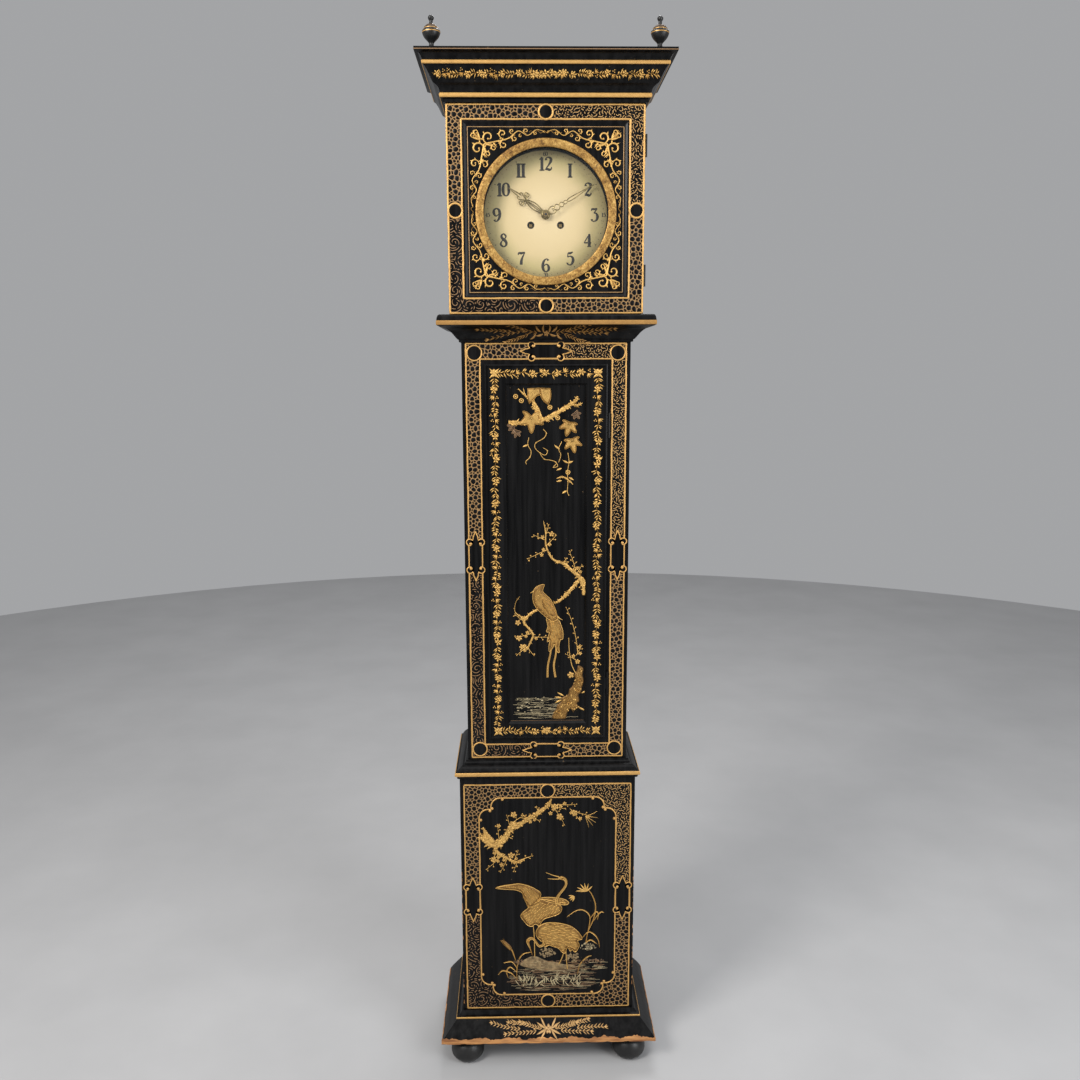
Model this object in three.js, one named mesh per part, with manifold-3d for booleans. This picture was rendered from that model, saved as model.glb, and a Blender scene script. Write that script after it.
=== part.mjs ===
// Longcase clock with an eight-day weight-driven movement.
// Millimetres, +Z up. Origin at the centre of the bounding box's base, dial facing -Y.
import * as THREE from 'three';
import { mergeVertices } from 'three/addons/utils/BufferGeometryUtils.js';
import Module from 'manifold-3d';

const wasm = await Module();
wasm.setup();

// ---------- driving dimensions ----------
const GAP = 0.3;
const BACK_Y = 133;
const BOARD = 12;

const FOOT = { x: 172, frontY: -85, backY: 88 };
const BASE = { half: 179.4, front: -80, bottom: 60, top: 626 };
const TRUNK = { half: 162, front: -62.6, bottom: 560, top: 1549 };
const CHEEK_TOP = 1630;
const HOOD = { half: 182, front: -82.6, bottom: 1551, doorTop: 1923.4, top: 1990 };
const CORNICE_TOP = 2005;
const FINIAL = { x: 203, y: -103.6 };

const DOORWAY = { half: 112, bottom: 711, top: 1452 };
const LIP = { half: 118, bottom: 705, top: 1458, back: -62.9, field: -66.6, front: -68.6 };
const PANEL = { half: 75, bottom: 741, top: 1418, y: -62.2 };
const TRUNK_HINGE = { x: 121.4, y: -65.8, r: 2.8, length: 48, at: [822, 1341] };

const DIAL_Z = 1734;
const BEZEL = { outer: 130.5, inner: 115.5, front: -84.6, back: -80.9 };
const HOOD_DOOR = { half: 181.7, back: -64.6, spandrel: -80.6, inset: 150 };
const HOOD_HINGE = { x: 185.2, y: -64.2, r: 2.9, length: 40, at: [1622, 1855] };
const GLASS = { r: 121, front: -78.5, back: -76 };

const FRONT_PLATE = [-18, -15];
const BACK_PLATE = [42, 45];
const PLATE = { half: 64, bottom: -85.4, top: 81 };
const DIAL_PLATE = { r: 127, front: -52.6, back: -50.2, winding: 5.5 };

// arbor centres as [x, z] from the dial's centre
const AT = {
  centre: [0, 0], going: [28, -18.5], strike: [-28, -18.5], third: [14, 23.5], escape: [0, 43],
  pallets: [0, 67], pin: [-38, 12.1], warning: [-28, 30.9], fly: [-40, 45.5], minute: [0, 24],
  hammer: [-58, 2],
};
const BARREL = { r: 20, flange: 21.5, line: 20.6 };
const LINE_R = 0.7;
const WEIGHT = { r: 27, height: 190, bottom: 130, y: 7, pulleyZ: 384 };
const PULLEY = { groove: 19.9, r: 23, half: 4.5 };
const LINE_SPREAD = 20.6;
const GOING_WEIGHT_X = AT.going[0] - BARREL.line + LINE_SPREAD;
const STRIKE_WEIGHT_X = AT.strike[0] - BARREL.line - LINE_SPREAD;
const PENDULUM = { y: 62, length: 994, bob: 60, bobThick: 26, rod: 2.5 };
const MINUTE_ANGLE = 59.5;
const HOUR_ANGLE = 300 + MINUTE_ANGLE / 12;

// ---------- materials ----------
const finish = (color, roughness, metalness) =>
  new THREE.MeshStandardMaterial({ color, roughness, metalness });
const LACQUER = finish(0x16130f, 0.35, 0);
const GILT = finish(0xc99b52, 0.42, 0.9);
const FOOT_BLACK = finish(0x0f0e0d, 0.5, 0);
const PINE = finish(0x7a5c3c, 0.7, 0);
const BRASS = finish(0xb8923f, 0.35, 0.9);
const STEEL = finish(0x8d9094, 0.35, 0.9);
const DIAL_PAINT = finish(0xdccfa2, 0.5, 0);
const CLEAR = new THREE.MeshStandardMaterial({
  color: 0xdfe8e6, roughness: 0.05, metalness: 0, transparent: true, opacity: 0.3,
});
const LEAD = finish(0x5d6064, 0.6, 0.7);
const GUT = finish(0x9b7a48, 0.7, 0);

// ---------- joining and cutting ----------
function toSolid(geometry) {
  const bare = geometry.clone();
  bare.deleteAttribute('normal');
  bare.deleteAttribute('uv');
  const merged = mergeVertices(bare, 1e-4);
  const index = merged.index.array;
  const kept = [];
  for (let i = 0; i < index.length; i += 3) {
    const [a, b, c] = [index[i], index[i + 1], index[i + 2]];
    if (a !== b && b !== c && c !== a) kept.push(a, b, c);
  }
  return new wasm.Manifold(new wasm.Mesh({
    numProp: 3,
    vertProperties: new Float32Array(merged.attributes.position.array),
    triVerts: new Uint32Array(kept),
  }));
}

function fromSolid(solid) {
  const mesh = solid.getMesh();
  const geometry = new THREE.BufferGeometry();
  geometry.setAttribute('position', new THREE.BufferAttribute(new Float32Array(mesh.vertProperties), 3));
  geometry.setIndex(new THREE.BufferAttribute(new Uint32Array(mesh.triVerts), 1));
  return geometry;
}

const join = (...parts) => fromSolid(parts.map(toSolid).reduce((sum, part) => sum.add(part)));
const cut = (body, ...tools) =>
  fromSolid(tools.map(toSolid).reduce((rest, tool) => rest.subtract(tool), toSolid(body)));

// ---------- basic shapes ----------
function box(x0, x1, y0, y1, z0, z1) {
  const geometry = new THREE.BoxGeometry(x1 - x0, y1 - y0, z1 - z0);
  return geometry.translate((x0 + x1) / 2, (y0 + y1) / 2, (z0 + z1) / 2);
}

function outline(points) {
  return new THREE.Shape(points.map(([x, y]) => new THREE.Vector2(x, y)));
}

function ring(x, y, r, sides) {
  return Array.from({ length: sides }, (_, i) => {
    const angle = (2 * Math.PI * i) / sides;
    return new THREE.Vector2(x + r * Math.cos(angle), y + r * Math.sin(angle));
  });
}

// a flat plate drawn in X and Z, with its thickness along Y
function plateY(shape, y0, y1) {
  const geometry = new THREE.ExtrudeGeometry(shape, { depth: y1 - y0, bevelEnabled: false });
  return geometry.rotateX(Math.PI / 2).translate(0, y1, 0);
}

// a board drawn in Y and Z, with its thickness along X
function plateX(shape, x0, x1) {
  const geometry = new THREE.ExtrudeGeometry(shape, { depth: x1 - x0, bevelEnabled: false });
  const turn = new THREE.Matrix4().makeBasis(
    new THREE.Vector3(0, 1, 0), new THREE.Vector3(0, 0, 1), new THREE.Vector3(1, 0, 0));
  return geometry.applyMatrix4(turn).translate(x0, 0, 0);
}

function rodY(r, y0, y1, x, z, sides = 12, turn = 0) {
  const geometry = new THREE.CylinderGeometry(r, r, y1 - y0, sides);
  return geometry.rotateY(turn).translate(x, (y0 + y1) / 2, z);
}

function rodZ(r, z0, z1, x, y, sides = 12) {
  const geometry = new THREE.CylinderGeometry(r, r, z1 - z0, sides);
  return geometry.rotateX(Math.PI / 2).translate(x, y, (z0 + z1) / 2);
}

function rodX(r, x0, x1, y, z, sides = 12) {
  const geometry = new THREE.CylinderGeometry(r, r, x1 - x0, sides);
  return geometry.rotateZ(Math.PI / 2).translate((x0 + x1) / 2, y, z);
}

// profile of [radius, height] turned about the Z axis
function turnZ(profile, sides, x = 0, y = 0, z = 0) {
  const points = profile.map(([r, h]) => new THREE.Vector2(r, h));
  return new THREE.LatheGeometry(points, sides).rotateX(Math.PI / 2).translate(x, y, z);
}

// profile of [radius, y] turned about an axis along Y
function turnY(profile, sides, x, z) {
  const points = profile.map(([r, h]) => new THREE.Vector2(r, h));
  return new THREE.LatheGeometry(points, sides).translate(x, 0, z);
}

function signedVolume(points, faces) {
  let sum = 0;
  for (const [a, b, c] of faces) {
    sum += points[a].dot(new THREE.Vector3().crossVectors(points[b], points[c]));
  }
  return sum / 6;
}

// skins equal rings of points, one after another, and closes the two ends unless the rings form a loop
function skin(rings, profile, loop) {
  const n = rings[0].length;
  const points = rings.flat();
  const faces = [];
  const last = loop ? rings.length : rings.length - 1;
  for (let k = 0; k < last; k += 1) {
    const next = (k + 1) % rings.length;
    for (let i = 0; i < n; i += 1) {
      const j = (i + 1) % n;
      faces.push([k * n + i, k * n + j, next * n + j], [k * n + i, next * n + j, next * n + i]);
    }
  }
  if (!loop) {
    const cap = THREE.ShapeUtils.triangulateShape(profile.map(([a, b]) => new THREE.Vector2(a, b)), []);
    const end = (rings.length - 1) * n;
    for (const [a, b, c] of cap) faces.push([a, c, b], [end + a, end + b, end + c]);
  }
  if (signedVolume(points, faces) < 0) faces.forEach((face) => face.reverse());
  const geometry = new THREE.BufferGeometry();
  geometry.setAttribute('position', new THREE.Float32BufferAttribute(points.flatMap((p) => p.toArray()), 3));
  geometry.setIndex(faces.flat());
  return geometry;
}

// a moulding that runs round the left side, front and right side of a case section.
// profile holds [distance out from the case, height] and is a closed outline, counter-clockwise.
function moulding(profile, half, front) {
  const corner = [
    (o) => [-(half + o), BACK_Y], (o) => [-(half + o), front - o],
    (o) => [half + o, front - o], (o) => [half + o, BACK_Y],
  ];
  const rings = corner.map((place) => profile.map(([o, z]) => {
    const [x, y] = place(o);
    return new THREE.Vector3(x, y, z);
  }));
  return skin(rings, profile, false);
}

// a mitred frame in the XZ plane. profile holds [distance out from the rectangle, y].
function frameRing(profile, half, z0, z1) {
  const corner = [
    (o) => [-(half + o), z0 - o], (o) => [half + o, z0 - o],
    (o) => [half + o, z1 + o], (o) => [-(half + o), z1 + o],
  ];
  const rings = corner.map((place) => profile.map(([o, y]) => {
    const [x, z] = place(o);
    return new THREE.Vector3(x, y, z);
  }));
  return skin(rings, profile, true);
}

// a block between two rectangles in the XZ plane, each [half width, z0, z1, y]
function taper(...sections) {
  const rings = sections.map(([half, z0, z1, y]) =>
    [[-half, z0], [half, z0], [half, z1], [-half, z1]].map(([x, z]) => new THREE.Vector3(x, y, z)));
  return skin(rings, [[0, 0], [1, 0], [1, 1], [0, 1]], false);
}

// ---------- toothed wheels ----------
// A wheel's phase is the angle of one tooth's centre from +X towards +Z.
function gearOutline(teeth, pitchR, phase, addendum = 0.75) {
  const module = (2 * pitchR) / teeth;
  const root = pitchR - 1.15 * module;
  const tip = pitchR + addendum * module;
  const pitch = (2 * Math.PI) / teeth;
  const points = [];
  for (let i = 0; i < teeth; i += 1) {
    const middle = phase + i * pitch;
    for (const [r, share] of [[root, -0.27], [tip, 0], [root, 0.27]]) {
      const angle = middle + share * pitch;
      points.push([r * Math.cos(angle), r * Math.sin(angle)]);
    }
  }
  return points;
}

function crossing(inner, outer, count, phase) {
  const holes = [];
  const pitch = (2 * Math.PI) / count;
  for (let i = 0; i < count; i += 1) {
    const from = phase + i * pitch;
    const arc = [];
    for (const [r, a, b] of [[outer, 0.09, 0.91], [inner, 0.78, 0.22]]) {
      for (let k = 0; k <= 2; k += 1) {
        const angle = from + pitch * (a + ((b - a) * k) / 2);
        arc.push(new THREE.Vector2(r * Math.cos(angle), r * Math.sin(angle)));
      }
    }
    holes.push(new THREE.Path(arc));
  }
  return holes;
}

function toothed(name, teeth, pitchR, phase, y0, y1, options = {}) {
  const shape = outline(gearOutline(teeth, pitchR, phase, options.addendum));
  if (options.crossings) {
    const rim = pitchR * (1 - 2.3 / teeth) - 2.4;
    shape.holes.push(...crossing(options.hub ?? 5, rim, options.crossings, phase));
  }
  const [x, z] = AT[name];
  return plateY(shape, y0, y1).translate(x, 0, DIAL_Z + z);
}

const direction = (from, to) => Math.atan2(AT[to][1] - AT[from][1], AT[to][0] - AT[from][0]);
const distance = (from, to) => Math.hypot(AT[to][1] - AT[from][1], AT[to][0] - AT[from][0]);

// phase that puts a space of the second wheel opposite a tooth of the first
function meshedPhase(from, to, phase, teeth, otherTeeth) {
  const turn = 2 * Math.PI;
  const theta = direction(from, to);
  const share = ((theta - phase) * teeth) / turn;
  return theta + Math.PI - ((0.5 - share) * turn) / otherTeeth;
}

function pair(from, to, teeth, otherTeeth, phase) {
  const d = distance(from, to);
  return {
    wheelR: (d * teeth) / (teeth + otherTeeth),
    pinionR: (d * otherTeeth) / (teeth + otherTeeth),
    phase,
    pinionPhase: meshedPhase(from, to, phase, teeth, otherTeeth),
  };
}

const TEETH = {
  great: 72, centrePinion: 6, centre: 45, thirdPinion: 6, third: 48, escapePinion: 6, escape: 30,
  strikeGreat: 63, pinPinion: 6, pin: 48, warningPinion: 6, warning: 42, flyPinion: 6,
  cannon: 8, minute: 24, minutePinion: 6, hour: 24,
};
const GREAT = pair('going', 'centre', TEETH.great, TEETH.centrePinion, 0);
const CENTRE = pair('centre', 'third', TEETH.centre, TEETH.thirdPinion, 0.3);
const THIRD = pair('third', 'escape', TEETH.third, TEETH.escapePinion, 0.1);
const STRIKE = pair('strike', 'pin', TEETH.strikeGreat, TEETH.pinPinion, 0);
const PIN = pair('pin', 'warning', TEETH.pin, TEETH.warningPinion, 0.2);
const WARNING = pair('warning', 'fly', TEETH.warning, TEETH.flyPinion, 0.1);
const CANNON = pair('centre', 'minute', TEETH.cannon, TEETH.minute, 0);
const HOUR = pair('minute', 'centre', TEETH.minutePinion, TEETH.hour, 0);

function arbor(name, y0, y1, r = 1.6) {
  const [x, z] = AT[name];
  const at = DIAL_Z + z;
  const pivots = rodY(0.9, FRONT_PLATE[0] + 0.4, BACK_PLATE[1] - 0.4, x, at, 8);
  return join(rodY(r, y0, y1, x, at, 10), pivots);
}

// ---------- scene graph helpers ----------
const clock = new THREE.Group();
function add(name, geometry, material) {
  const mesh = new THREE.Mesh(geometry, material);
  mesh.name = name;
  clock.add(mesh);
}

// ---------- hinges ----------
// the half on the fixed side: two end knuckles on a pin. reach is a box corner pair in X and Y.
function fixedHinge(hinge, z, reach) {
  const [x0, x1, y0, y1] = reach;
  const half = hinge.length / 2;
  const end = hinge.length / 4;
  return [
    rodZ(1.5, z - half, z + half, hinge.x, hinge.y, 8),
    rodZ(hinge.r, z - half, z - end, hinge.x, hinge.y, 10),
    rodZ(hinge.r, z + end, z + half, hinge.x, hinge.y, 10),
    box(x0, x1, y0, y1, z - half, z - end),
    box(x0, x1, y0, y1, z + end, z + half),
  ];
}

// the half on the door: one middle knuckle, bored to turn on the pin
function doorKnuckle(hinge, z, reach) {
  const [x0, x1, y0, y1] = reach;
  const end = hinge.length / 4 - GAP;
  const knuckle = join(
    rodZ(hinge.r, z - end, z + end, hinge.x, hinge.y, 10), box(x0, x1, y0, y1, z - end, z + end));
  return cut(knuckle, rodZ(1.9, z - end - 1, z + end + 1, hinge.x, hinge.y, 8));
}

// ---------- case: feet, plinth and base ----------
const FOOT_PROFILE = [
  [0, 0], [20, 0], [30, 6], [35, 19], [33, 33], [26, 42], [19, 46], [23, 54.7], [0, 54.7],
];
function buildFeet() {
  for (const [side, x] of [['left', -FOOT.x], ['right', FOOT.x]]) {
    add(`foot_front_${side}`, turnZ(FOOT_PROFILE, 20, x, FOOT.frontY), FOOT_BLACK);
    add(`foot_back_${side}`, turnZ(FOOT_PROFILE, 20, x, FOOT.backY), FOOT_BLACK);
  }
}

const PLINTH_PROFILE = [
  [-40, 55], [44, 55], [45, 56.5], [45, 60], [42, 64], [36, 71], [28, 79], [20, 87], [14.6, 92],
  [14.6, 97], [9, 99], [4, 105], [0.3, 105], [0.3, 59.7], [-40, 59.7],
];
function buildBase() {
  add('plinth_moulding', moulding(PLINTH_PROFILE, BASE.half, BASE.front), LACQUER);
  const inner = BASE.half - BOARD;
  add('base_front', box(-BASE.half, BASE.half, BASE.front, BASE.front + BOARD, BASE.bottom, BASE.top), LACQUER);
  const sideFront = BASE.front + BOARD + GAP;
  add('base_side_left', box(-BASE.half, -inner, sideFront, BACK_Y, BASE.bottom, BASE.top), LACQUER);
  add('base_side_right', box(inner, BASE.half, sideFront, BACK_Y, BASE.bottom, BASE.top), LACQUER);
  add('base_floor', box(GAP - inner, inner - GAP, sideFront, 120.7, 60, 76), PINE);
}

const BACKBOARD = [
  [-166.5, 61], [166.5, 61], [166.5, 555], [149.5, 555], [149.5, 1552], [168, 1552], [168, 1985],
  [-168, 1985], [-168, 1552], [-149.5, 1552], [-149.5, 555], [-166.5, 555],
];
function buildBackboard() {
  add('backboard', plateY(outline(BACKBOARD), 121, BACK_Y - GAP), PINE);
}

// ---------- case: trunk ----------
const WAIST_PROFILE = [
  [0.3, 626.3], [20, 626.3], [22, 630], [25, 633], [25, 641], [21, 643], [18, 648], [12, 652],
  [7, 655], [4.5, 661], [0.3, 661],
];
const THROAT_PROFILE = [
  [0.3, 1500], [4, 1500], [8, 1506], [13, 1510], [15, 1515], [20, 1521], [29, 1526], [40, 1528.5],
  [43, 1530], [43, 1538], [42, 1544], [38, 1549.7], [0.3, 1549.7],
];
function buildTrunkFront() {
  const board = box(-TRUNK.half, TRUNK.half, TRUNK.front, TRUNK.front + BOARD, TRUNK.bottom, TRUNK.top);
  const way = box(-DOORWAY.half, DOORWAY.half, -90, 0, DOORWAY.bottom, DOORWAY.top);
  const reach = [TRUNK_HINGE.x - 2, TRUNK_HINGE.x + 2.8, TRUNK_HINGE.y, TRUNK.front + 1];
  const hinges = TRUNK_HINGE.at.flatMap((z) => fixedHinge(TRUNK_HINGE, z, reach));
  add('trunk_front_frame', join(cut(board, way), ...hinges), LACQUER);
}

function buildTrunk() {
  buildTrunkFront();
  const front = TRUNK.front + BOARD + GAP;
  const side = outline([
    [front, TRUNK.bottom], [BACK_Y, TRUNK.bottom], [BACK_Y, TRUNK.top], [120.7, TRUNK.top],
    [120.7, CHEEK_TOP], [front, CHEEK_TOP],
  ]);
  const inner = TRUNK.half - BOARD;
  add('trunk_side_left', plateX(side, -TRUNK.half, -inner), LACQUER);
  add('trunk_side_right', plateX(side, inner, TRUNK.half), LACQUER);
  add('waist_moulding', moulding(WAIST_PROFILE, TRUNK.half, TRUNK.front), LACQUER);
  add('throat_moulding', moulding(THROAT_PROFILE, TRUNK.half, TRUNK.front), LACQUER);
}

function buildTrunkDoor() {
  const body = box(GAP * 2 - DOORWAY.half, DOORWAY.half - GAP * 2, LIP.field, -47,
    DOORWAY.bottom + GAP * 2, DOORWAY.top - GAP * 2);
  const lip = box(-LIP.half, LIP.half, LIP.field, LIP.back, LIP.bottom, LIP.top);
  const ogee = [[-6, LIP.field + 1], [0, LIP.field + 1], [0, LIP.field - 1], [-2, LIP.front], [-4, LIP.front]];
  const edge = frameRing(ogee, LIP.half, LIP.bottom, LIP.top);
  const wide = PANEL.half + 4;
  const pocket = taper(
    [wide + 1, PANEL.bottom - 5, PANEL.top + 5, LIP.field - 1], [wide, PANEL.bottom - 4, PANEL.top + 4, LIP.field],
    [PANEL.half, PANEL.bottom, PANEL.top, PANEL.y]);
  const reach = [LIP.half - 1, TRUNK_HINGE.x, TRUNK_HINGE.y - 2, TRUNK_HINGE.y + 2];
  const knuckles = TRUNK_HINGE.at.map((z) => doorKnuckle(TRUNK_HINGE, z, reach));
  add('trunk_door', join(cut(join(body, lip, edge), pocket), ...knuckles), LACQUER);
}

// ---------- hood ----------
function buildHoodFrame() {
  const half = 169.7;
  const y = [-64, -52];
  const frame = cut(
    box(-half, half, y[0], y[1], HOOD.bottom, HOOD.top), box(-150, 150, -90, 0, 1571, 1926));
  const header = box(-half, half, HOOD.front, y[0] + 1, 1926, HOOD.top);
  add('hood_front_frame', join(frame, header), LACQUER);
}

function buildHoodSides() {
  const inner = HOOD.half - BOARD;
  const reach = [HOOD.half - 1, HOOD_HINGE.x, HOOD_HINGE.y + 0.1, HOOD_HINGE.y + 2.7];
  const hinges = HOOD_HINGE.at.flatMap((z) => fixedHinge(HOOD_HINGE, z, reach));
  add('hood_side_left', box(-HOOD.half, -inner, -64, BACK_Y, HOOD.bottom, HOOD.top), LACQUER);
  add('hood_side_right', join(box(inner, HOOD.half, -64, BACK_Y, HOOD.bottom, HOOD.top), ...hinges), LACQUER);
}

const CORNICE_PROFILE = [
  [0.3, 1924.3], [4, 1924.3], [5, 1930], [8.5, 1931.5], [8.5, 1940], [10, 1943], [13, 1949], [19, 1954],
  [22, 1957], [27, 1968], [32, 1978], [36.8, 1980], [36.8, 1987], [39, 1990], [44, 1997], [50.4, 1999.5],
  [50.4, CORNICE_TOP], [0.3, CORNICE_TOP],
];
const FINIAL_PROFILE = [
  [0, 0], [12, 0], [12, 3], [4.5, 9], [4.2, 13], [13, 22], [16, 29], [16, 33], [12, 37], [3.4, 47],
  [3, 50], [5.4, 55], [3.6, 58.8], [0, 59.7],
];
function buildHoodTop() {
  add('cornice', moulding(CORNICE_PROFILE, HOOD.half, HOOD.front), LACQUER);
  add('hood_top', box(-HOOD.half, HOOD.half, HOOD.front, BACK_Y, HOOD.top + GAP, CORNICE_TOP - GAP), PINE);
  for (const [side, x] of [['left', -FINIAL.x], ['right', FINIAL.x]]) {
    add(`finial_${side}`, turnZ(FINIAL_PROFILE, 16, x, FINIAL.y, CORNICE_TOP + GAP), FOOT_BLACK);
  }
}

function buildHoodDoor() {
  const board = box(-HOOD_DOOR.half, HOOD_DOOR.half, HOOD.front, HOOD_DOOR.back, HOOD.bottom, HOOD.doorTop);
  const low = HOOD.bottom + 32;
  const high = HOOD.doorTop - 32;
  const recess = taper(
    [HOOD_DOOR.inset + 1, low - 1, high + 1, HOOD.front - 1], [HOOD_DOOR.inset, low, high, HOOD.front],
    [HOOD_DOOR.inset - 4, low + 4, high - 4, HOOD_DOOR.spandrel]);
  const light = rodY(116, -90, -60, 0, DIAL_Z, 48);
  const rebate = rodY(GLASS.r + 0.6, GLASS.front - GAP, -60, 0, DIAL_Z, 48);
  const reach = [HOOD_DOOR.half - 1, HOOD_HINGE.x, HOOD_HINGE.y - 2.6, HOOD_HINGE.y - 0.5];
  const knuckles = HOOD_HINGE.at.map((z) => doorKnuckle(HOOD_HINGE, z, reach));
  add('hood_door', join(cut(board, recess, light, rebate), ...knuckles), LACQUER);
  const section = [
    [BEZEL.inner, BEZEL.back], [BEZEL.inner, -83.6], [BEZEL.inner + 1.5, BEZEL.front],
    [BEZEL.outer - 1.5, BEZEL.front], [BEZEL.outer, -83.6], [BEZEL.outer, BEZEL.back], [BEZEL.inner, BEZEL.back],
  ];
  add('bezel_ring', turnY(section, 48, 0, DIAL_Z), GILT);
  add('door_glass', rodY(GLASS.r, GLASS.front, GLASS.back, 0, DIAL_Z, 48), CLEAR);
}

// ---------- movement: fixed pieces ----------
function plate(y, holes) {
  const shape = outline([
    [-PLATE.half, PLATE.bottom], [PLATE.half, PLATE.bottom], [PLATE.half, PLATE.top], [-PLATE.half, PLATE.top],
  ]);
  for (const [name, r] of Object.entries(holes)) {
    shape.holes.push(new THREE.Path(ring(...AT[name], r, r > 3 ? 12 : 6)));
  }
  return plateY(shape, y[0], y[1]).translate(0, 0, DIAL_Z);
}

const PILLARS = [[-56, -77], [56, -77], [-56, 73], [56, 73]];
function buildPlates() {
  const pivots = { third: 1.3, escape: 1.3, pin: 1.3, warning: 1.3, fly: 1.3 };
  const back = plate(BACK_PLATE, { ...pivots, centre: 1.3, going: 1.3, strike: 1.3, pallets: 4, hammer: 2.3 });
  const pillars = PILLARS.map(([x, z]) => rodY(4, FRONT_PLATE[1] + GAP, BACK_PLATE[0] + 1, x, DIAL_Z + z, 10));
  add('back_plate', join(back, ...pillars), BRASS);
  add('front_plate', plate(FRONT_PLATE, { ...pivots, centre: 5, going: 5, strike: 5, pallets: 1.3, hammer: 1.3 }),
    BRASS);
  const board = box(-160, 160, -46, 52, CHEEK_TOP + GAP, DIAL_Z + PLATE.bottom - GAP);
  const slot = (x) => rodZ(5, CHEEK_TOP - 5, DIAL_Z + PLATE.bottom + 5, x, WEIGHT.y, 12);
  add('seatboard', cut(board, slot(AT.going[0] - BARREL.line), slot(AT.strike[0] - BARREL.line)), PINE);
}

function buildDial() {
  const shape = new THREE.Shape(ring(0, 0, DIAL_PLATE.r, 48));
  for (const [x, z, r] of [[0, 0, 7.5], [...AT.going, DIAL_PLATE.winding], [...AT.strike, DIAL_PLATE.winding]]) {
    shape.holes.push(new THREE.Path(ring(x, z, r, 16)));
  }
  const face = plateY(shape, DIAL_PLATE.front, DIAL_PLATE.back).translate(0, 0, DIAL_Z);
  const feet = [[-50, -70], [50, -70], [-50, 60], [50, 60]].map(([x, z]) =>
    rodY(3, DIAL_PLATE.back - 1, FRONT_PLATE[0] - GAP, x, DIAL_Z + z, 8));
  add('dial', join(face, ...feet), DIAL_PAINT);
}

function buildBackCock() {
  const low = DIAL_Z + 60;
  const [x, z] = AT.pallets;
  const bridge = cut(box(-34, 34, 57, 60, low, low + 14), rodY(1.3, 50, 65, x, DIAL_Z + z, 8));
  const block = cut(box(-8, 8, 57, 67, low + 13, low + 24), box(-1.5, 1.5, 58.2, 70, low, low + 30));
  const legs = [-34, 26].map((left) => box(left, left + 8, BACK_PLATE[1] + GAP, 58, low, low + 14));
  add('back_cock', join(bridge, block, ...legs), BRASS);
}

const BELL = { x: 0, y: 30, r: 40, rim: 1830 };
function buildBell() {
  const cup = [
    [3.3, 26], [26, 20], [35, 11], [38, 0], [40, 0], [37.5, 12], [28, 23], [3.3, 29], [3.3, 26],
  ];
  add('bell', turnZ(cup, 24, BELL.x, BELL.y, BELL.rim), STEEL);
  const stand = join(
    box(40, 48, BACK_PLATE[1] + GAP, 48, DIAL_Z + 40, 1868), box(-4, 48, 45.3, 48, 1862, 1868),
    box(-4, 4, 26, 48, 1862, 1868), rodZ(3, 1852, 1866, BELL.x, BELL.y, 10), rodZ(6, 1859.5, 1863, BELL.x, BELL.y, 10));
  add('bell_stand', stand, STEEL);
}

// ---------- movement: going train ----------
function barrel(name, y0) {
  const [x, z] = AT[name];
  const at = DIAL_Z + z;
  const drum = turnY([
    [0, y0], [BARREL.flange, y0], [BARREL.flange, y0 + 1.5], [BARREL.r, y0 + 1.5], [BARREL.r, 20.5],
    [BARREL.flange, 20.5], [BARREL.flange, 22], [0, 22],
  ], 20, x, at);
  const shaft = rodY(2.5, -15, 41.6, x, at, 10);
  const square = rodY(4.2, -46, -13, x, at, 4, Math.PI / 4);
  return join(drum, shaft, square, rodY(0.9, 41, 44.6, x, at, 8));
}

function bored(name, geometry, r) {
  const [x, z] = AT[name];
  return cut(geometry, rodY(r, -90, 90, x, DIAL_Z + z, 12));
}

function buildGoingTrain() {
  add('going_barrel', barrel('going', -11), BRASS);
  add('going_great_wheel',
    bored('going', toothed('going', TEETH.great, GREAT.wheelR, GREAT.phase, 33, 36), 2.9), BRASS);
  const cannon = toothed('centre', TEETH.cannon, CANNON.wheelR, CANNON.phase, -26, -22, { addendum: 0.6 });
  add('centre_wheel', join(
    rodY(1.8, -63, 41.6, 0, DIAL_Z, 12), rodY(0.9, 41, 44.6, 0, DIAL_Z, 8),
    rodY(4.3, -63, -22, 0, DIAL_Z, 16), cannon,
    toothed('centre', TEETH.centre, CENTRE.wheelR, CENTRE.phase, 26, 28, { crossings: 4 }),
    toothed('centre', TEETH.centrePinion, GREAT.pinionR, GREAT.pinionPhase, 31, 38, { addendum: 0.55 })), BRASS);
  add('third_wheel', join(
    arbor('third', -14.6, 41.6),
    toothed('third', TEETH.third, THIRD.wheelR, THIRD.phase, 16, 18, { crossings: 4 }),
    toothed('third', TEETH.thirdPinion, CENTRE.pinionR, CENTRE.pinionPhase, 24, 30, { addendum: 0.55 })), BRASS);
  add('escape_wheel', join(
    arbor('escape', -14.6, 41.6), escapeWheel(),
    toothed('escape', TEETH.escapePinion, THIRD.pinionR, THIRD.pinionPhase, 14, 20, { addendum: 0.55 })), BRASS);
  add('pallets', pallets(), STEEL);
}

function escapeWheel() {
  const points = [];
  const pitch = (2 * Math.PI) / TEETH.escape;
  for (let i = 0; i < TEETH.escape; i += 1) {
    for (const [r, share] of [[14, 0], [17.2, 0.46], [14, 0.62]]) {
      const angle = (i + share) * pitch;
      points.push([r * Math.cos(angle), r * Math.sin(angle)]);
    }
  }
  const shape = outline(points);
  shape.holes.push(...crossing(4.5, 12, 4, 0));
  return plateY(shape, 34, 36).translate(AT.escape[0], 0, DIAL_Z + AT.escape[1]);
}

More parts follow.
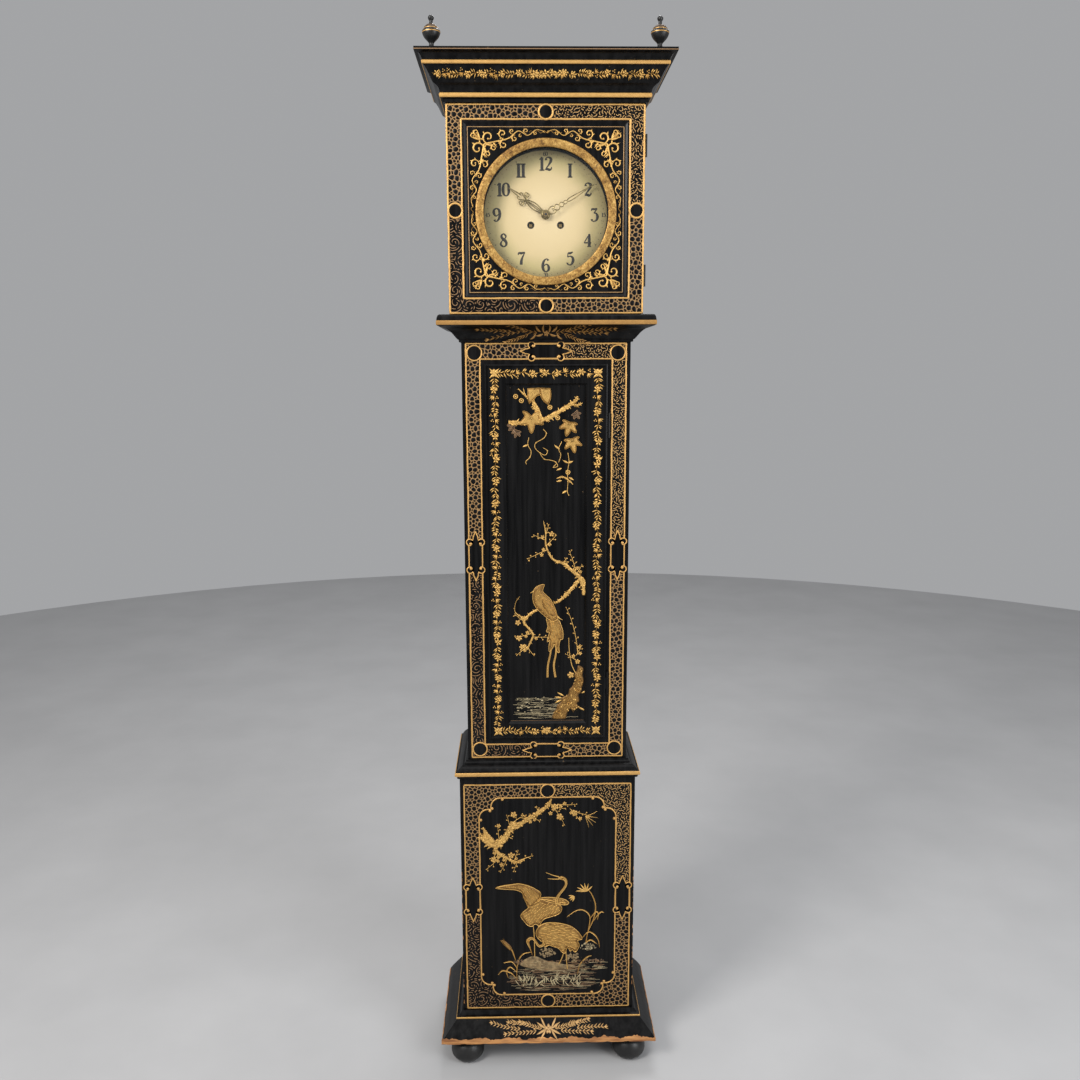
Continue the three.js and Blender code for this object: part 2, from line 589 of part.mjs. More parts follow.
const ANCHOR = [
  [-3.5, 71], [3.5, 71], [11, 66.5], [16.5, 58.8], [14.4, 56.6], [12, 58.8], [7.5, 62.8], [3, 64.2],
  [-3, 64.2], [-7.5, 62.8], [-12, 58.8], [-14.4, 56.6], [-16.5, 58.8], [-11, 66.5],
];
function pallets() {
  const [x, z] = AT.pallets;
  const at = DIAL_Z + z;
  const crutch = box(-2, 2, 51, 54, DIAL_Z - 44, at + 3);
  const fork = cut(
    box(-6.5, 6.5, 51, 69, DIAL_Z - 48, DIAL_Z - 43),
    rodZ(PENDULUM.rod + 0.6, DIAL_Z - 60, DIAL_Z - 30, 0, PENDULUM.y, 12));
  return join(
    rodY(1.6, -14.6, 56.6, x, at, 10), rodY(0.9, -17.6, 59.6, x, at, 8),
    plateY(outline(ANCHOR), 33, 37).translate(0, 0, DIAL_Z), crutch, fork);
}

// ---------- movement: motion work and hands ----------
function buildMotionWork() {
  const stud = rodY(1.5, -34, FRONT_PLATE[0] - GAP, AT.minute[0], DIAL_Z + AT.minute[1], 10);
  add('minute_wheel', join(
    stud, toothed('minute', TEETH.minute, CANNON.pinionR, CANNON.pinionPhase, -25, -23),
    toothed('minute', TEETH.minutePinion, HOUR.wheelR, HOUR.phase, -32.5, -28, { addendum: 0.55 })), BRASS);
  const wheel = toothed('centre', TEETH.hour, HOUR.pinionR, HOUR.pinionPhase, -31.5, -29);
  const pipe = rodY(6.5, -57.6, -29, 0, DIAL_Z, 16);
  add('hour_wheel', bored('centre', join(wheel, pipe), 4.9), BRASS);
}

// a pierced hand drawn pointing up: rings and leaves threaded on a tapering stem
function hand(size, hubHole) {
  const { length, loopAt, loopR, hub } = size;
  const half = [
    [hub * 0.5, hub * 0.85], [2.4, hub + 3], [2, loopAt - loopR - 3], [loopR * 0.8, loopAt - loopR * 0.55],
    [loopR, loopAt], [loopR * 0.75, loopAt + loopR * 0.6], [2, loopAt + loopR + 2.5],
    [4.6, loopAt + loopR + 8], [3.6, loopAt + loopR + 13], [1.5, loopAt + loopR + 19],
    [0.9, length - 5], [0.3, length],
  ];
  const points = [[0, -hub], [hub * 0.7, -hub * 0.7], [hub, 0], ...half];
  const mirrored = points.slice(1).reverse().map(([x, z]) => [-x, z]);
  const shape = outline([...points, ...mirrored]);
  shape.holes.push(new THREE.Path(ring(0, loopAt, loopR * 0.52, 10)), new THREE.Path(ring(0, 0, hubHole, 16)));
  return shape;
}

const HOUR_HAND = { length: 84, loopAt: 32, loopR: 9.5, hub: 10 };
const MINUTE_HAND = { length: 101, loopAt: 34, loopR: 8, hub: 8.4 };
function buildHands() {
  const aim = (shape, y0, y1, degrees) => plateY(shape, y0, y1)
    .rotateY(THREE.MathUtils.degToRad(degrees)).translate(0, 0, DIAL_Z);
  add('hour_hand', aim(hand(HOUR_HAND, 6.8), -57, -55.4, HOUR_ANGLE), BRASS);
  add('minute_hand', aim(hand(MINUTE_HAND, 4.6), -61.4, -60, MINUTE_ANGLE), BRASS);
}

// ---------- movement: striking train ----------
function buildStrikingTrain() {
  add('strike_barrel', barrel('strike', -5), BRASS);
  add('strike_great_wheel',
    bored('strike', toothed('strike', TEETH.strikeGreat, STRIKE.wheelR, STRIKE.phase, -11, -8), 2.9), BRASS);
  const [px, pz] = AT.pin;
  const pins = Array.from({ length: 8 }, (_, i) => {
    const angle = (i * Math.PI) / 4;
    return rodY(1, 30, 35, px + 13 * Math.cos(angle), DIAL_Z + pz + 13 * Math.sin(angle), 6);
  });
  add('pin_wheel', join(
    arbor('pin', -14.6, 41.6), ...pins, toothed('pin', TEETH.pin, PIN.wheelR, PIN.phase, 29, 31),
    toothed('pin', TEETH.pinPinion, STRIKE.pinionR, STRIKE.pinionPhase, -13, -6, { addendum: 0.55 })), BRASS);
  add('warning_wheel', join(
    arbor('warning', -14.6, 41.6),
    toothed('warning', TEETH.warning, WARNING.wheelR, WARNING.phase, 10, 12, { crossings: 4 }),
    toothed('warning', TEETH.warningPinion, PIN.pinionR, PIN.pinionPhase, 27, 33, { addendum: 0.55 })), BRASS);
  const [fx, fz] = AT.fly;
  add('fly', join(
    arbor('fly', -14.6, 41.6), box(fx - 11, fx + 11, 17, 38, DIAL_Z + fz - 0.6, DIAL_Z + fz + 0.6),
    toothed('fly', TEETH.flyPinion, WARNING.pinionR, WARNING.pinionPhase, 8, 14, { addendum: 0.55 })), BRASS);
  add('hammer', hammer(), STEEL);
}

function hammer() {
  const [x, z] = AT.hammer;
  const at = DIAL_Z + z;
  const tail = plateY(outline([[0, -1.5], [12, -6], [12, -3.5], [0, 2.5]]), 33, 35).translate(x, 0, at);
  const arm = box(x - 3, x, 48, 51, at - 3, 1838);
  const head = rodX(5, x - 6, -37.5, 49.5, 1833, 12);
  return join(
    rodY(1.8, -14.6, 50, x, at, 10), rodY(0.9, -17.6, 0, x, at, 8), tail, arm, head);
}

// ---------- pendulum ----------
function buildPendulum() {
  const top = DIAL_Z + AT.pallets[1];
  const bobZ = top - PENDULUM.length;
  const y = PENDULUM.y;
  const spring = box(-0.3, 0.3, y - 1.5, y + 3.4, top - 30, top + 20);
  const head = box(-4, 4, y - 3.4, y + 4, top + 17.3, top + 24);
  const stem = rodZ(PENDULUM.rod, bobZ - PENDULUM.bob - 42, top - 28, 0, y, 10);
  const clip = box(-4, 4, y - 3.6, y + 3.6, top - 34, top - 24);
  add('pendulum_rod', join(spring, head, stem, clip), STEEL);
  const t = PENDULUM.bobThick / 2;
  const lens = turnY([
    [0, y - t], [22, y - t + 0.8], [44, y - t + 4.4], [60, y - 1], [60, y + 1],
    [44, y + t - 4.4], [22, y + t - 0.8], [0, y + t],
  ], 32, 0, bobZ);
  add('pendulum_bob', cut(lens, rodZ(PENDULUM.rod + GAP, bobZ - 90, bobZ + 90, 0, y, 10)), BRASS);
  const low = bobZ - PENDULUM.bob - 10;
  const nut = turnZ([[2.8, 0], [9, 0], [10, 2], [10, 7], [9, 9], [2.8, 9], [2.8, 0]], 16, 0, y, low);
  add('rating_nut', nut, BRASS);
}

// ---------- weights, pulleys and lines ----------
function weight(x) {
  const { r, height, bottom, y, pulleyZ } = WEIGHT;
  const top = bottom + height;
  const shell = turnZ([
    [0, bottom], [r - 3, bottom], [r, bottom + 3], [r, top - 4], [r - 4, top], [0, top],
  ], 24, x, y);
  const cheeks = [-8.5, 7].map((from) => box(x - 5, x + 5, y + from, y + from + 1.5, pulleyZ - 32, pulleyZ + 6));
  return join(
    shell, rodZ(3, top - 2, pulleyZ - 30, x, y, 10), box(x - 5, x + 5, y - 8.5, y + 8.5, pulleyZ - 32, pulleyZ - 28),
    ...cheeks, rodY(2, y - 8, y + 8, x, pulleyZ, 10));
}

function pulley(x) {
  const { groove, r, half } = PULLEY;
  const y = WEIGHT.y;
  return turnY([
    [2.4, y - half], [r, y - half], [groove, y - 1.5], [groove, y + 1.5], [r, y + half], [2.4, y + half],
    [2.4, y - half],
  ], 20, x, WEIGHT.pulleyZ);
}

function strand(x, top) {
  return rodZ(LINE_R, WEIGHT.pulleyZ, top, x, WEIGHT.y, 6);
}

function buildWeights() {
  for (const [name, x, side] of [['going', GOING_WEIGHT_X, 1], ['strike', STRIKE_WEIGHT_X, -1]]) {
    add(`${name}_weight`, weight(x), LEAD);
    add(`${name}_pulley`, pulley(x), BRASS);
    add(`${name}_line`, strand(x - side * LINE_SPREAD, DIAL_Z + AT[name][1]), GUT);
    add(`${name}_line_fixed`, strand(x + side * LINE_SPREAD, CHEEK_TOP), GUT);
  }
}

buildFeet();
buildBase();
buildBackboard();
buildTrunk();
buildTrunkDoor();
buildHoodFrame();
buildHoodSides();
buildHoodTop();
buildHoodDoor();
buildPlates();
buildDial();
buildBackCock();
buildBell();
buildGoingTrain();
buildMotionWork();
buildHands();
buildStrikingTrain();
buildPendulum();
buildWeights();

export default clock;
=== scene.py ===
"""Looks of the black japanned longcase clock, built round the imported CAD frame.

Drawing code works in millimetres in the clock's own frame. Meshes are written in metres.
"""
import math
import random

import bpy
import numpy as np
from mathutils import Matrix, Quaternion, Vector
from mathutils.geometry import delaunay_2d_cdt


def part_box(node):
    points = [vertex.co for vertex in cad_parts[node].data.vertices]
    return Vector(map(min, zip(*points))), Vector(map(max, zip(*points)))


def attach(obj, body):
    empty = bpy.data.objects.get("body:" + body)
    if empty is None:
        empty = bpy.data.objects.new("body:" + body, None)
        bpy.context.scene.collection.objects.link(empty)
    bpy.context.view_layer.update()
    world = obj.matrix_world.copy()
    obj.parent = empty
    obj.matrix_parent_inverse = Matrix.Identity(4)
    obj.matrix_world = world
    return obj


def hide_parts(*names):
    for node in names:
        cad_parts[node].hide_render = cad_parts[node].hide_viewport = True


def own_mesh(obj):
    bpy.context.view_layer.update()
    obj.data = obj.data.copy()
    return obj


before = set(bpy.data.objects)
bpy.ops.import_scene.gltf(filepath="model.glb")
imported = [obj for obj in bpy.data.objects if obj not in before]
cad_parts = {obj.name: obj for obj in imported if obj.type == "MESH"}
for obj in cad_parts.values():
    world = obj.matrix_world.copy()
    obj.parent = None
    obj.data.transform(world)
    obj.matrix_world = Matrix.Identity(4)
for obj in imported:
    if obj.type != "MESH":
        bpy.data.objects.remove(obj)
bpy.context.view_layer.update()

MM = 0.001
TAU = 2 * math.pi


def corner_mm(node):
    """Lowest and highest corner of a CAD node, in millimetres."""
    return tuple(np.array(corner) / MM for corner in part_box(node))


def axis_mm(node):
    """The middle of a CAD node in X and Y, in millimetres."""
    low, high = corner_mm(node)
    return (low[0] + high[0]) / 2, (low[1] + high[1]) / 2


# ---------- places taken from the frame, in millimetres ----------
BASE_FACE = corner_mm("base_front")[0][1]
HOOD_FACE = corner_mm("hood_door")[0][1]
HOOD_LOW, HOOD_HIGH = corner_mm("hood_door")[0][2], corner_mm("hood_door")[1][2]
DOOR_LOW, DOOR_HIGH = corner_mm("trunk_door")[0][2], corner_mm("trunk_door")[1][2]
DIAL_LOW, DIAL_HIGH = corner_mm("door_glass")
DIAL_Z = (DIAL_LOW[2] + DIAL_HIGH[2]) / 2
DIAL_FACE = corner_mm("dial")[0][1]
WINDING_X, WINDING_Z = 28, DIAL_Z - 18.5
BEZEL_FACE = corner_mm("bezel_ring")[0][1]
BACK_Y = corner_mm("plinth_moulding")[1][1]

BASE_HALF = 179.4
TRUNK_HALF = 162.0
HOOD_HALF = 182.0
TRUNK_FACE = -62.6
DOOR_FIELD = -66.6
DOOR_PANEL = -62.2
SPANDREL_FACE = -80.6

# how far each painted or raised layer stands out from its face
GROUND = 0.12
PEBBLE = 0.5
THREAD = 0.55
LINE = 0.8
PLATE = 0.95
RAISED = 1.5
GARLAND = 2.3


# ---------- node materials ----------
class Finish:
    """A Principled material whose patterns come from object coordinates."""

    def __init__(self, name, **sockets):
        self.material = bpy.data.materials.new(name)
        self.material.use_nodes = True
        self.tree = self.material.node_tree
        self.shader = self.tree.nodes["Principled BSDF"]
        self.place = self.tree.nodes.new("ShaderNodeTexCoord").outputs["Object"]
        for socket, value in sockets.items():
            self.shader.inputs[socket.replace("_", " ")].default_value = value

    def node(self, kind, links=None, **settings):
        made = self.tree.nodes.new("ShaderNode" + kind)
        for key, value in settings.items():
            setattr(made, key, value)
        for socket, value in (links or {}).items():
            if isinstance(value, bpy.types.NodeSocket):
                self.tree.links.new(value, made.inputs[socket])
            else:
                made.inputs[socket].default_value = value
        return made

    def stretched(self, scale):
        return self.node("Mapping", {"Vector": self.place, "Scale": scale}).outputs["Vector"]

    def noise(self, scale, detail=4.0, stretch=(1, 1, 1), distortion=0.0, roughness=0.55):
        links = {"Vector": self.stretched(stretch), "Scale": scale, "Detail": detail,
                 "Distortion": distortion, "Roughness": roughness}
        return self.node("TexNoise", links).outputs["Fac"]

    def cells(self, scale, feature="DISTANCE_TO_EDGE", stretch=(1, 1, 1)):
        links = {"Vector": self.stretched(stretch), "Scale": scale}
        return self.node("TexVoronoi", links, feature=feature).outputs["Distance"]

    def ramp(self, value, *stops):
        made = self.node("ValToRGB", {"Fac": value})
        band = made.color_ramp.elements
        while len(band) < len(stops):
            band.new(0.5)
        for element, (at, color) in zip(band, stops):
            element.position = at
            shade = (color,) * 3 if isinstance(color, (int, float)) else color
            element.color = (*shade, 1)
        return made.outputs["Color"]

    def mix(self, factor, first, second, blend="MIX"):
        made = self.node("Mix", data_type="RGBA", blend_type=blend)
        for socket, value in ((0, factor), (6, first), (7, second)):
            if isinstance(value, bpy.types.NodeSocket):
                self.tree.links.new(value, made.inputs[socket])
            else:
                made.inputs[socket].default_value = value if socket == 0 else (*value, 1)
        return made.outputs[2]

    def math(self, operation, *values):
        return self.node("Math", dict(enumerate(values)), operation=operation).outputs[0]

    def color(self, value):
        self.tree.links.new(value, self.shader.inputs["Base Color"])

    def rough(self, value, low, high):
        spread = self.node("MapRange", {"Value": value, "To Min": low, "To Max": high})
        self.tree.links.new(spread.outputs["Result"], self.shader.inputs["Roughness"])

    def bump(self, height, distance, strength=1.0):
        made = self.node("Bump", {"Height": height, "Distance": distance * MM, "Strength": strength})
        self.tree.links.new(made.outputs["Normal"], self.shader.inputs["Normal"])


def lacquer(name, grain=0.35, chips=0.72):
    """Black japanning over softwood: faint upright grain, mottled gloss and a few chips."""
    made = Finish(name, Specular_IOR_Level=0.13, Coat_Weight=0.04, Coat_Roughness=0.12)
    upright = made.noise(7, 6, (16, 16, 0.7))
    cloud = made.noise(9, 5)
    black = made.ramp(upright, (0.38, (0.0016, 0.0016, 0.0018)), (0.66, (0.0078, 0.0076, 0.0078)))
    worn = made.ramp(made.noise(150, 3), (chips, 0.0), (chips + 0.02, 1.0))
    made.color(made.mix(worn, black, (0.10, 0.066, 0.035)))
    made.rough(made.mix(0.5, upright, cloud), 0.14, 0.55)
    made.bump(made.mix(0.3, upright, made.noise(420, 3)), grain)
    return made.material


def gilding(name, high, low, metallic=0.5, rough=(0.28, 0.6), mottle=60):
    """Leaf over gesso with mottled wear. By how high each point is raised, it gets a painted highlight on the
    crests and painted brown shade in the hollows.
    """
    made = Finish(name, Metallic=metallic, Specular_IOR_Level=0.5)
    crest = made.node("Attribute", attribute_name="rise").outputs["Fac"]
    blend = made.mix(0.45, made.noise(mottle, 8, roughness=0.7), made.noise(900, 5))
    worn = made.math("MULTIPLY_ADD", blend, 1.1, -0.55)
    tone = made.math("MULTIPLY_ADD", crest, 0.8, worn)
    # painted shade: the darkest brown at the low end of the ramp; painted highlight: the brightest gold at
    # the crest end
    hollow_shade = tuple(c * 0.3 for c in low)
    bright = tuple(min(1, c * 1.3) for c in high)
    made.color(made.ramp(tone, (0.06, hollow_shade), (0.36, low), (0.66, high), (0.95, bright)))
    made.rough(blend, rough[1], rough[0])
    made.bump(made.noise(900, 5), 0.25)
    return made.material


def bezel_leaf():
    """Large-figured leaf with rubbed brown patches, as on the ring round the dial."""
    made = Finish("bezel_leaf", Metallic=0.5)
    patches = made.noise(62, 9, roughness=0.75, distortion=0.7)
    flecks = made.noise(420, 7, roughness=0.75)
    blend = made.mix(0.5, patches, flecks)
    made.color(made.ramp(blend, (0.40, (0.09, 0.042, 0.010)), (0.47, (0.30, 0.155, 0.036)),
                         (0.53, (0.50, 0.29, 0.075)), (0.60, (0.74, 0.48, 0.16))))
    made.rough(blend, 0.62, 0.34)
    made.bump(flecks, 0.35)
    return made.material


def dial_paint():
    """Cream paint, darkened towards the rim by painted shadow from the bezel, and speckled towards the rim.
    """
    made = Finish("dial_cream", Specular_IOR_Level=0.35)
    centred = made.node("Mapping", {"Vector": made.place, "Location": (0, 0, -DIAL_Z * MM)})
    flat = made.node("VectorMath", {0: centred.outputs["Vector"], 1: (1, 0, 1)}, operation="MULTIPLY")
    reach = made.node("VectorMath", {0: flat.outputs["Vector"]}, operation="LENGTH").outputs["Value"]
    cloudy = made.math("ADD", reach, made.math("MULTIPLY", made.noise(22, 4), 0.018))
    # painted shadow: the cream darkens towards the rim, where the bezel shades it
    shade = made.ramp(made.math("MULTIPLY", cloudy, 8.0), (0.28, (0.68, 0.545, 0.315)),
                      (0.66, (0.62, 0.49, 0.265)), (0.86, (0.47, 0.39, 0.18)), (0.99, (0.30, 0.24, 0.11)))
    rim = made.ramp(made.math("MULTIPLY", reach, 8.0), (0.68, 0.0), (0.9, 1.0))
    specks = made.ramp(made.cells(210, "F1"), (0.0, 1.0), (0.17, 1.0), (0.2, 0.0))
    spots = made.math("MULTIPLY", specks, made.math("MULTIPLY", rim, 0.55))
    made.color(made.mix(spots, shade, (0.10, 0.07, 0.035)))
    made.rough(cloudy, 0.38, 0.6)
    made.bump(made.noise(160, 5), 0.12)
    return made.material


def plain_pattern(name, dark, light, scale, stretch, rough, metallic=0.0, depth=0.15, detail=6):
    """One patterned colour, for metals, timber and paints that need no more."""
    made = Finish(name, Metallic=metallic)
    figure = made.noise(scale, detail, stretch)
    made.color(made.ramp(figure, (0.32, dark), (0.68, light)))
    made.rough(figure, rough[1], rough[0])
    made.bump(made.mix(0.5, figure, made.noise(scale * 6, 3, stretch)), depth)
    return made.material


def clear_glass():
    """A thin pane: faint, slightly smeared reflections and nothing else."""
    made = Finish("clear_pane", Roughness=0.04, IOR=1.5)
    smear = made.node("MapRange", {"Value": made.noise(14, 5), "To Min": 0.012, "To Max": 0.035})
    made.tree.links.new(smear.outputs["Result"], made.shader.inputs["Alpha"])
    made.color(made.ramp(made.noise(9), (0.4, (0.30, 0.33, 0.32)), (0.6, (0.42, 0.45, 0.44))))
    return made.material


BLACK = lacquer("black_japan")
BLACK_PANEL = lacquer("black_japan_panel", grain=0.7, chips=0.75)
PEBBLE_BLACK = lacquer("black_pebble", grain=0.12, chips=0.9)
GILT = gilding("gilt_relief", (0.66, 0.40, 0.115), (0.25, 0.125, 0.028))
GILT_LINE = gilding("gilt_line", (0.64, 0.37, 0.115), (0.34, 0.17, 0.045), mottle=110)
GILT_BAND = gilding("gilt_band", (0.42, 0.225, 0.066), (0.18, 0.085, 0.024), mottle=90)
GILT_NET = gilding("gilt_net", (0.50, 0.30, 0.12), (0.25, 0.14, 0.055), metallic=0.3, mottle=140)
GILT_THREAD = gilding("gilt_thread", (0.50, 0.30, 0.115), (0.24, 0.13, 0.05), metallic=0.35, mottle=120)
GILT_DIM = gilding("gilt_dim", (0.26, 0.15, 0.07), (0.12, 0.068, 0.034), metallic=0.25, mottle=120)
SILVER = gilding("silver_wash", (0.52, 0.43, 0.25), (0.16, 0.125, 0.07), metallic=0.35, mottle=180)
BEZEL = bezel_leaf()
CREAM = dial_paint()
INK = plain_pattern("numeral_ink", (0.008, 0.007, 0.006), (0.028, 0.022, 0.015), 260, (1, 1, 1),
                    (0.4, 0.6), depth=0.05)
HAND_BRASS = plain_pattern("aged_brass", (0.10, 0.075, 0.028), (0.36, 0.28, 0.12), 190, (1, 1, 1),
                           (0.3, 0.5), metallic=0.85, depth=0.08)
BRASS = plain_pattern("cast_brass", (0.42, 0.26, 0.08), (0.78, 0.55, 0.24), 60, (1, 1, 1),
                      (0.22, 0.42), metallic=1.0, depth=0.06)
STEEL = plain_pattern("worked_steel", (0.24, 0.245, 0.25), (0.52, 0.53, 0.54), 90, (1, 1, 4),
                      (0.24, 0.45), metallic=1.0, depth=0.06)
LEAD = plain_pattern("cast_lead", (0.10, 0.105, 0.11), (0.24, 0.25, 0.26), 70, (1, 1, 1),
                     (0.45, 0.7), metallic=0.7, depth=0.4)
PINE = plain_pattern("aged_pine", (0.10, 0.052, 0.022), (0.27, 0.155, 0.072), 6, (18, 18, 1),
                     (0.55, 0.8), depth=0.5)
FLAT_PINE = plain_pattern("aged_pine_boards", (0.085, 0.045, 0.02), (0.22, 0.125, 0.058), 6, (1, 18, 18),
                          (0.55, 0.8), depth=0.4)
GUT = plain_pattern("twisted_gut", (0.25, 0.15, 0.06), (0.50, 0.34, 0.17), 900, (1, 1, 3),
                    (0.5, 0.7), depth=0.3)
FOOT_BLACK = plain_pattern("satin_black", (0.0045, 0.0045, 0.0045), (0.016, 0.0155, 0.015), 55, (1, 1, 1),
                           (0.3, 0.5), depth=0.12)
BARE_WOOD = plain_pattern("bare_wood", (0.20, 0.075, 0.022), (0.62, 0.30, 0.10), 55, (0.35, 1, 3),
                          (0.6, 0.85), depth=0.5)
DRY_EARTH = plain_pattern("painted_earth", (0.08, 0.052, 0.024), (0.34, 0.235, 0.11), 120, (1, 1, 1),
                          (0.5, 0.7), depth=0.4)
LID_BROWN = plain_pattern("rubbed_lid", (0.012, 0.009, 0.007), (0.115, 0.065, 0.03), 240, (1, 1, 1),
                          (0.4, 0.65), depth=0.2)


# ---------- meshes ----------
def piece(name, points, faces, material, body, smooth=60, stands_for=(), rise=None):
    """A mesh object from points in millimetres, riding on a CAD body. rise sets how much painted shade or
    painted highlight each point's gilding gets.
    """
    mesh = bpy.data.meshes.new(name)
    mesh.from_pydata([tuple(c * MM for c in p) for p in points], [], faces)
    crest = mesh.attributes.new("rise", "FLOAT", "POINT")
    crest.data.foreach_set("value", rise if rise is not None else [0.85] * len(points))
    mesh.validate()
    mesh.materials.append(material)
    mesh.polygons.foreach_set("use_smooth", [True] * len(mesh.polygons))
    mesh.set_sharp_from_angle(angle=math.radians(smooth))
    made = bpy.data.objects.new(name, mesh)
    bpy.context.scene.collection.objects.link(made)
    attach(made, body)
    if stands_for:
        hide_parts(*stands_for)
    return made


def spline(controls, per_span=6):
    """A smooth path through the control rows (x, z, and any widths)."""
    rows = np.array(controls, float)
    ends = np.vstack([2 * rows[0] - rows[1], rows, 2 * rows[-1] - rows[-2]])
    path = []
    for i in range(1, len(ends) - 2):
        a, b, c, d = ends[i - 1:i + 3]
        for t in np.linspace(0, 1, per_span, endpoint=False):
            path.append(0.5 * (2 * b + (c - a) * t + (2 * a - 5 * b + 4 * c - d) * t * t
                               + (3 * b - a - 3 * c + d) * t ** 3))
    return np.array(path + [rows[-1]])


def curve(controls, per_span):
    """A smooth path as rows, for a profile's rounded stretch."""
    return [tuple(p) for p in spline(controls, per_span)]


def loop_spline(controls, per_span=6):
    """A smooth closed outline through the control rows."""
    rows = np.array(controls, float)
    around = np.vstack([rows[-1:], rows, rows[:2]])
    return spline(around, per_span)[per_span:-per_span - 1]


def swept(profile, half, front, name, material, body, stands_for, smooth=32):
    """A moulding round the left side, front and right side. profile rows are (out, z)."""
    corners = (lambda o: (-(half + o), BACK_Y), lambda o: (-(half + o), front - o),
               lambda o: (half + o, front - o), lambda o: (half + o, BACK_Y))
    n = len(profile)
    points = [(*corner(o), z) for corner in corners for o, z in profile]
    faces = [(k * n + i, k * n + (i + 1) % n, (k + 1) * n + (i + 1) % n, (k + 1) * n + i)
             for k in range(3) for i in range(n)]
    faces += [tuple(range(n))[::-1], tuple(3 * n + i for i in range(n))]
    return piece(name, points, faces, material, body, smooth, stands_for)


def bead(name, z0, z1, out, half, front, body, material, bulge=1.3):
    """A gilded half-round run along a moulding."""
    arc = [(out - 0.6, z0)] + [(out + 0.2 + bulge * math.sin(a), z0 + (z1 - z0) * (1 - math.cos(a)) / 2)
                               for a in np.linspace(0, math.pi, 9)] + [(out - 0.6, z1)]
    return swept(arc, half, front, name, material, body, (), 60)


def turned(name, profile, centre, material, body, segments=64, axis="Z", smooth=50, stands_for=()):
    """A turned piece. profile rows are (radius, distance along the axis)."""
    x0, y0, z0 = centre
    points, faces = [], []
    for k in range(segments):
        c, s = math.cos(TAU * k / segments), math.sin(TAU * k / segments)
        for r, h in profile:
            upright = (x0 + r * c, y0 + r * s, z0 + h)
            points.append(upright if axis == "Z" else (x0 + r * c, y0 + h, z0 - r * s))
    n = len(profile)
    for k in range(segments):
        after = (k + 1) % segments
        faces += [(k * n + i, after * n + i, after * n + i + 1, k * n + i + 1) for i in range(n - 1)]
    return piece(name, points, faces, material, body, smooth, stands_for)


# ---------- raised work ----------
ROUND = ((-1, 0), (-0.72, 0.75), (0, 1), (0.72, 0.75), (1, 0))
RIDGE = ((-1, 0), (0, 1), (1, 0))
VEINED = ((-1, 0), (-0.6, 0.95), (0, 0.5), (0.6, 0.95), (1, 0))
FLAT = ((-1, 0), (-0.9, 1), (0.9, 1), (1, 0))


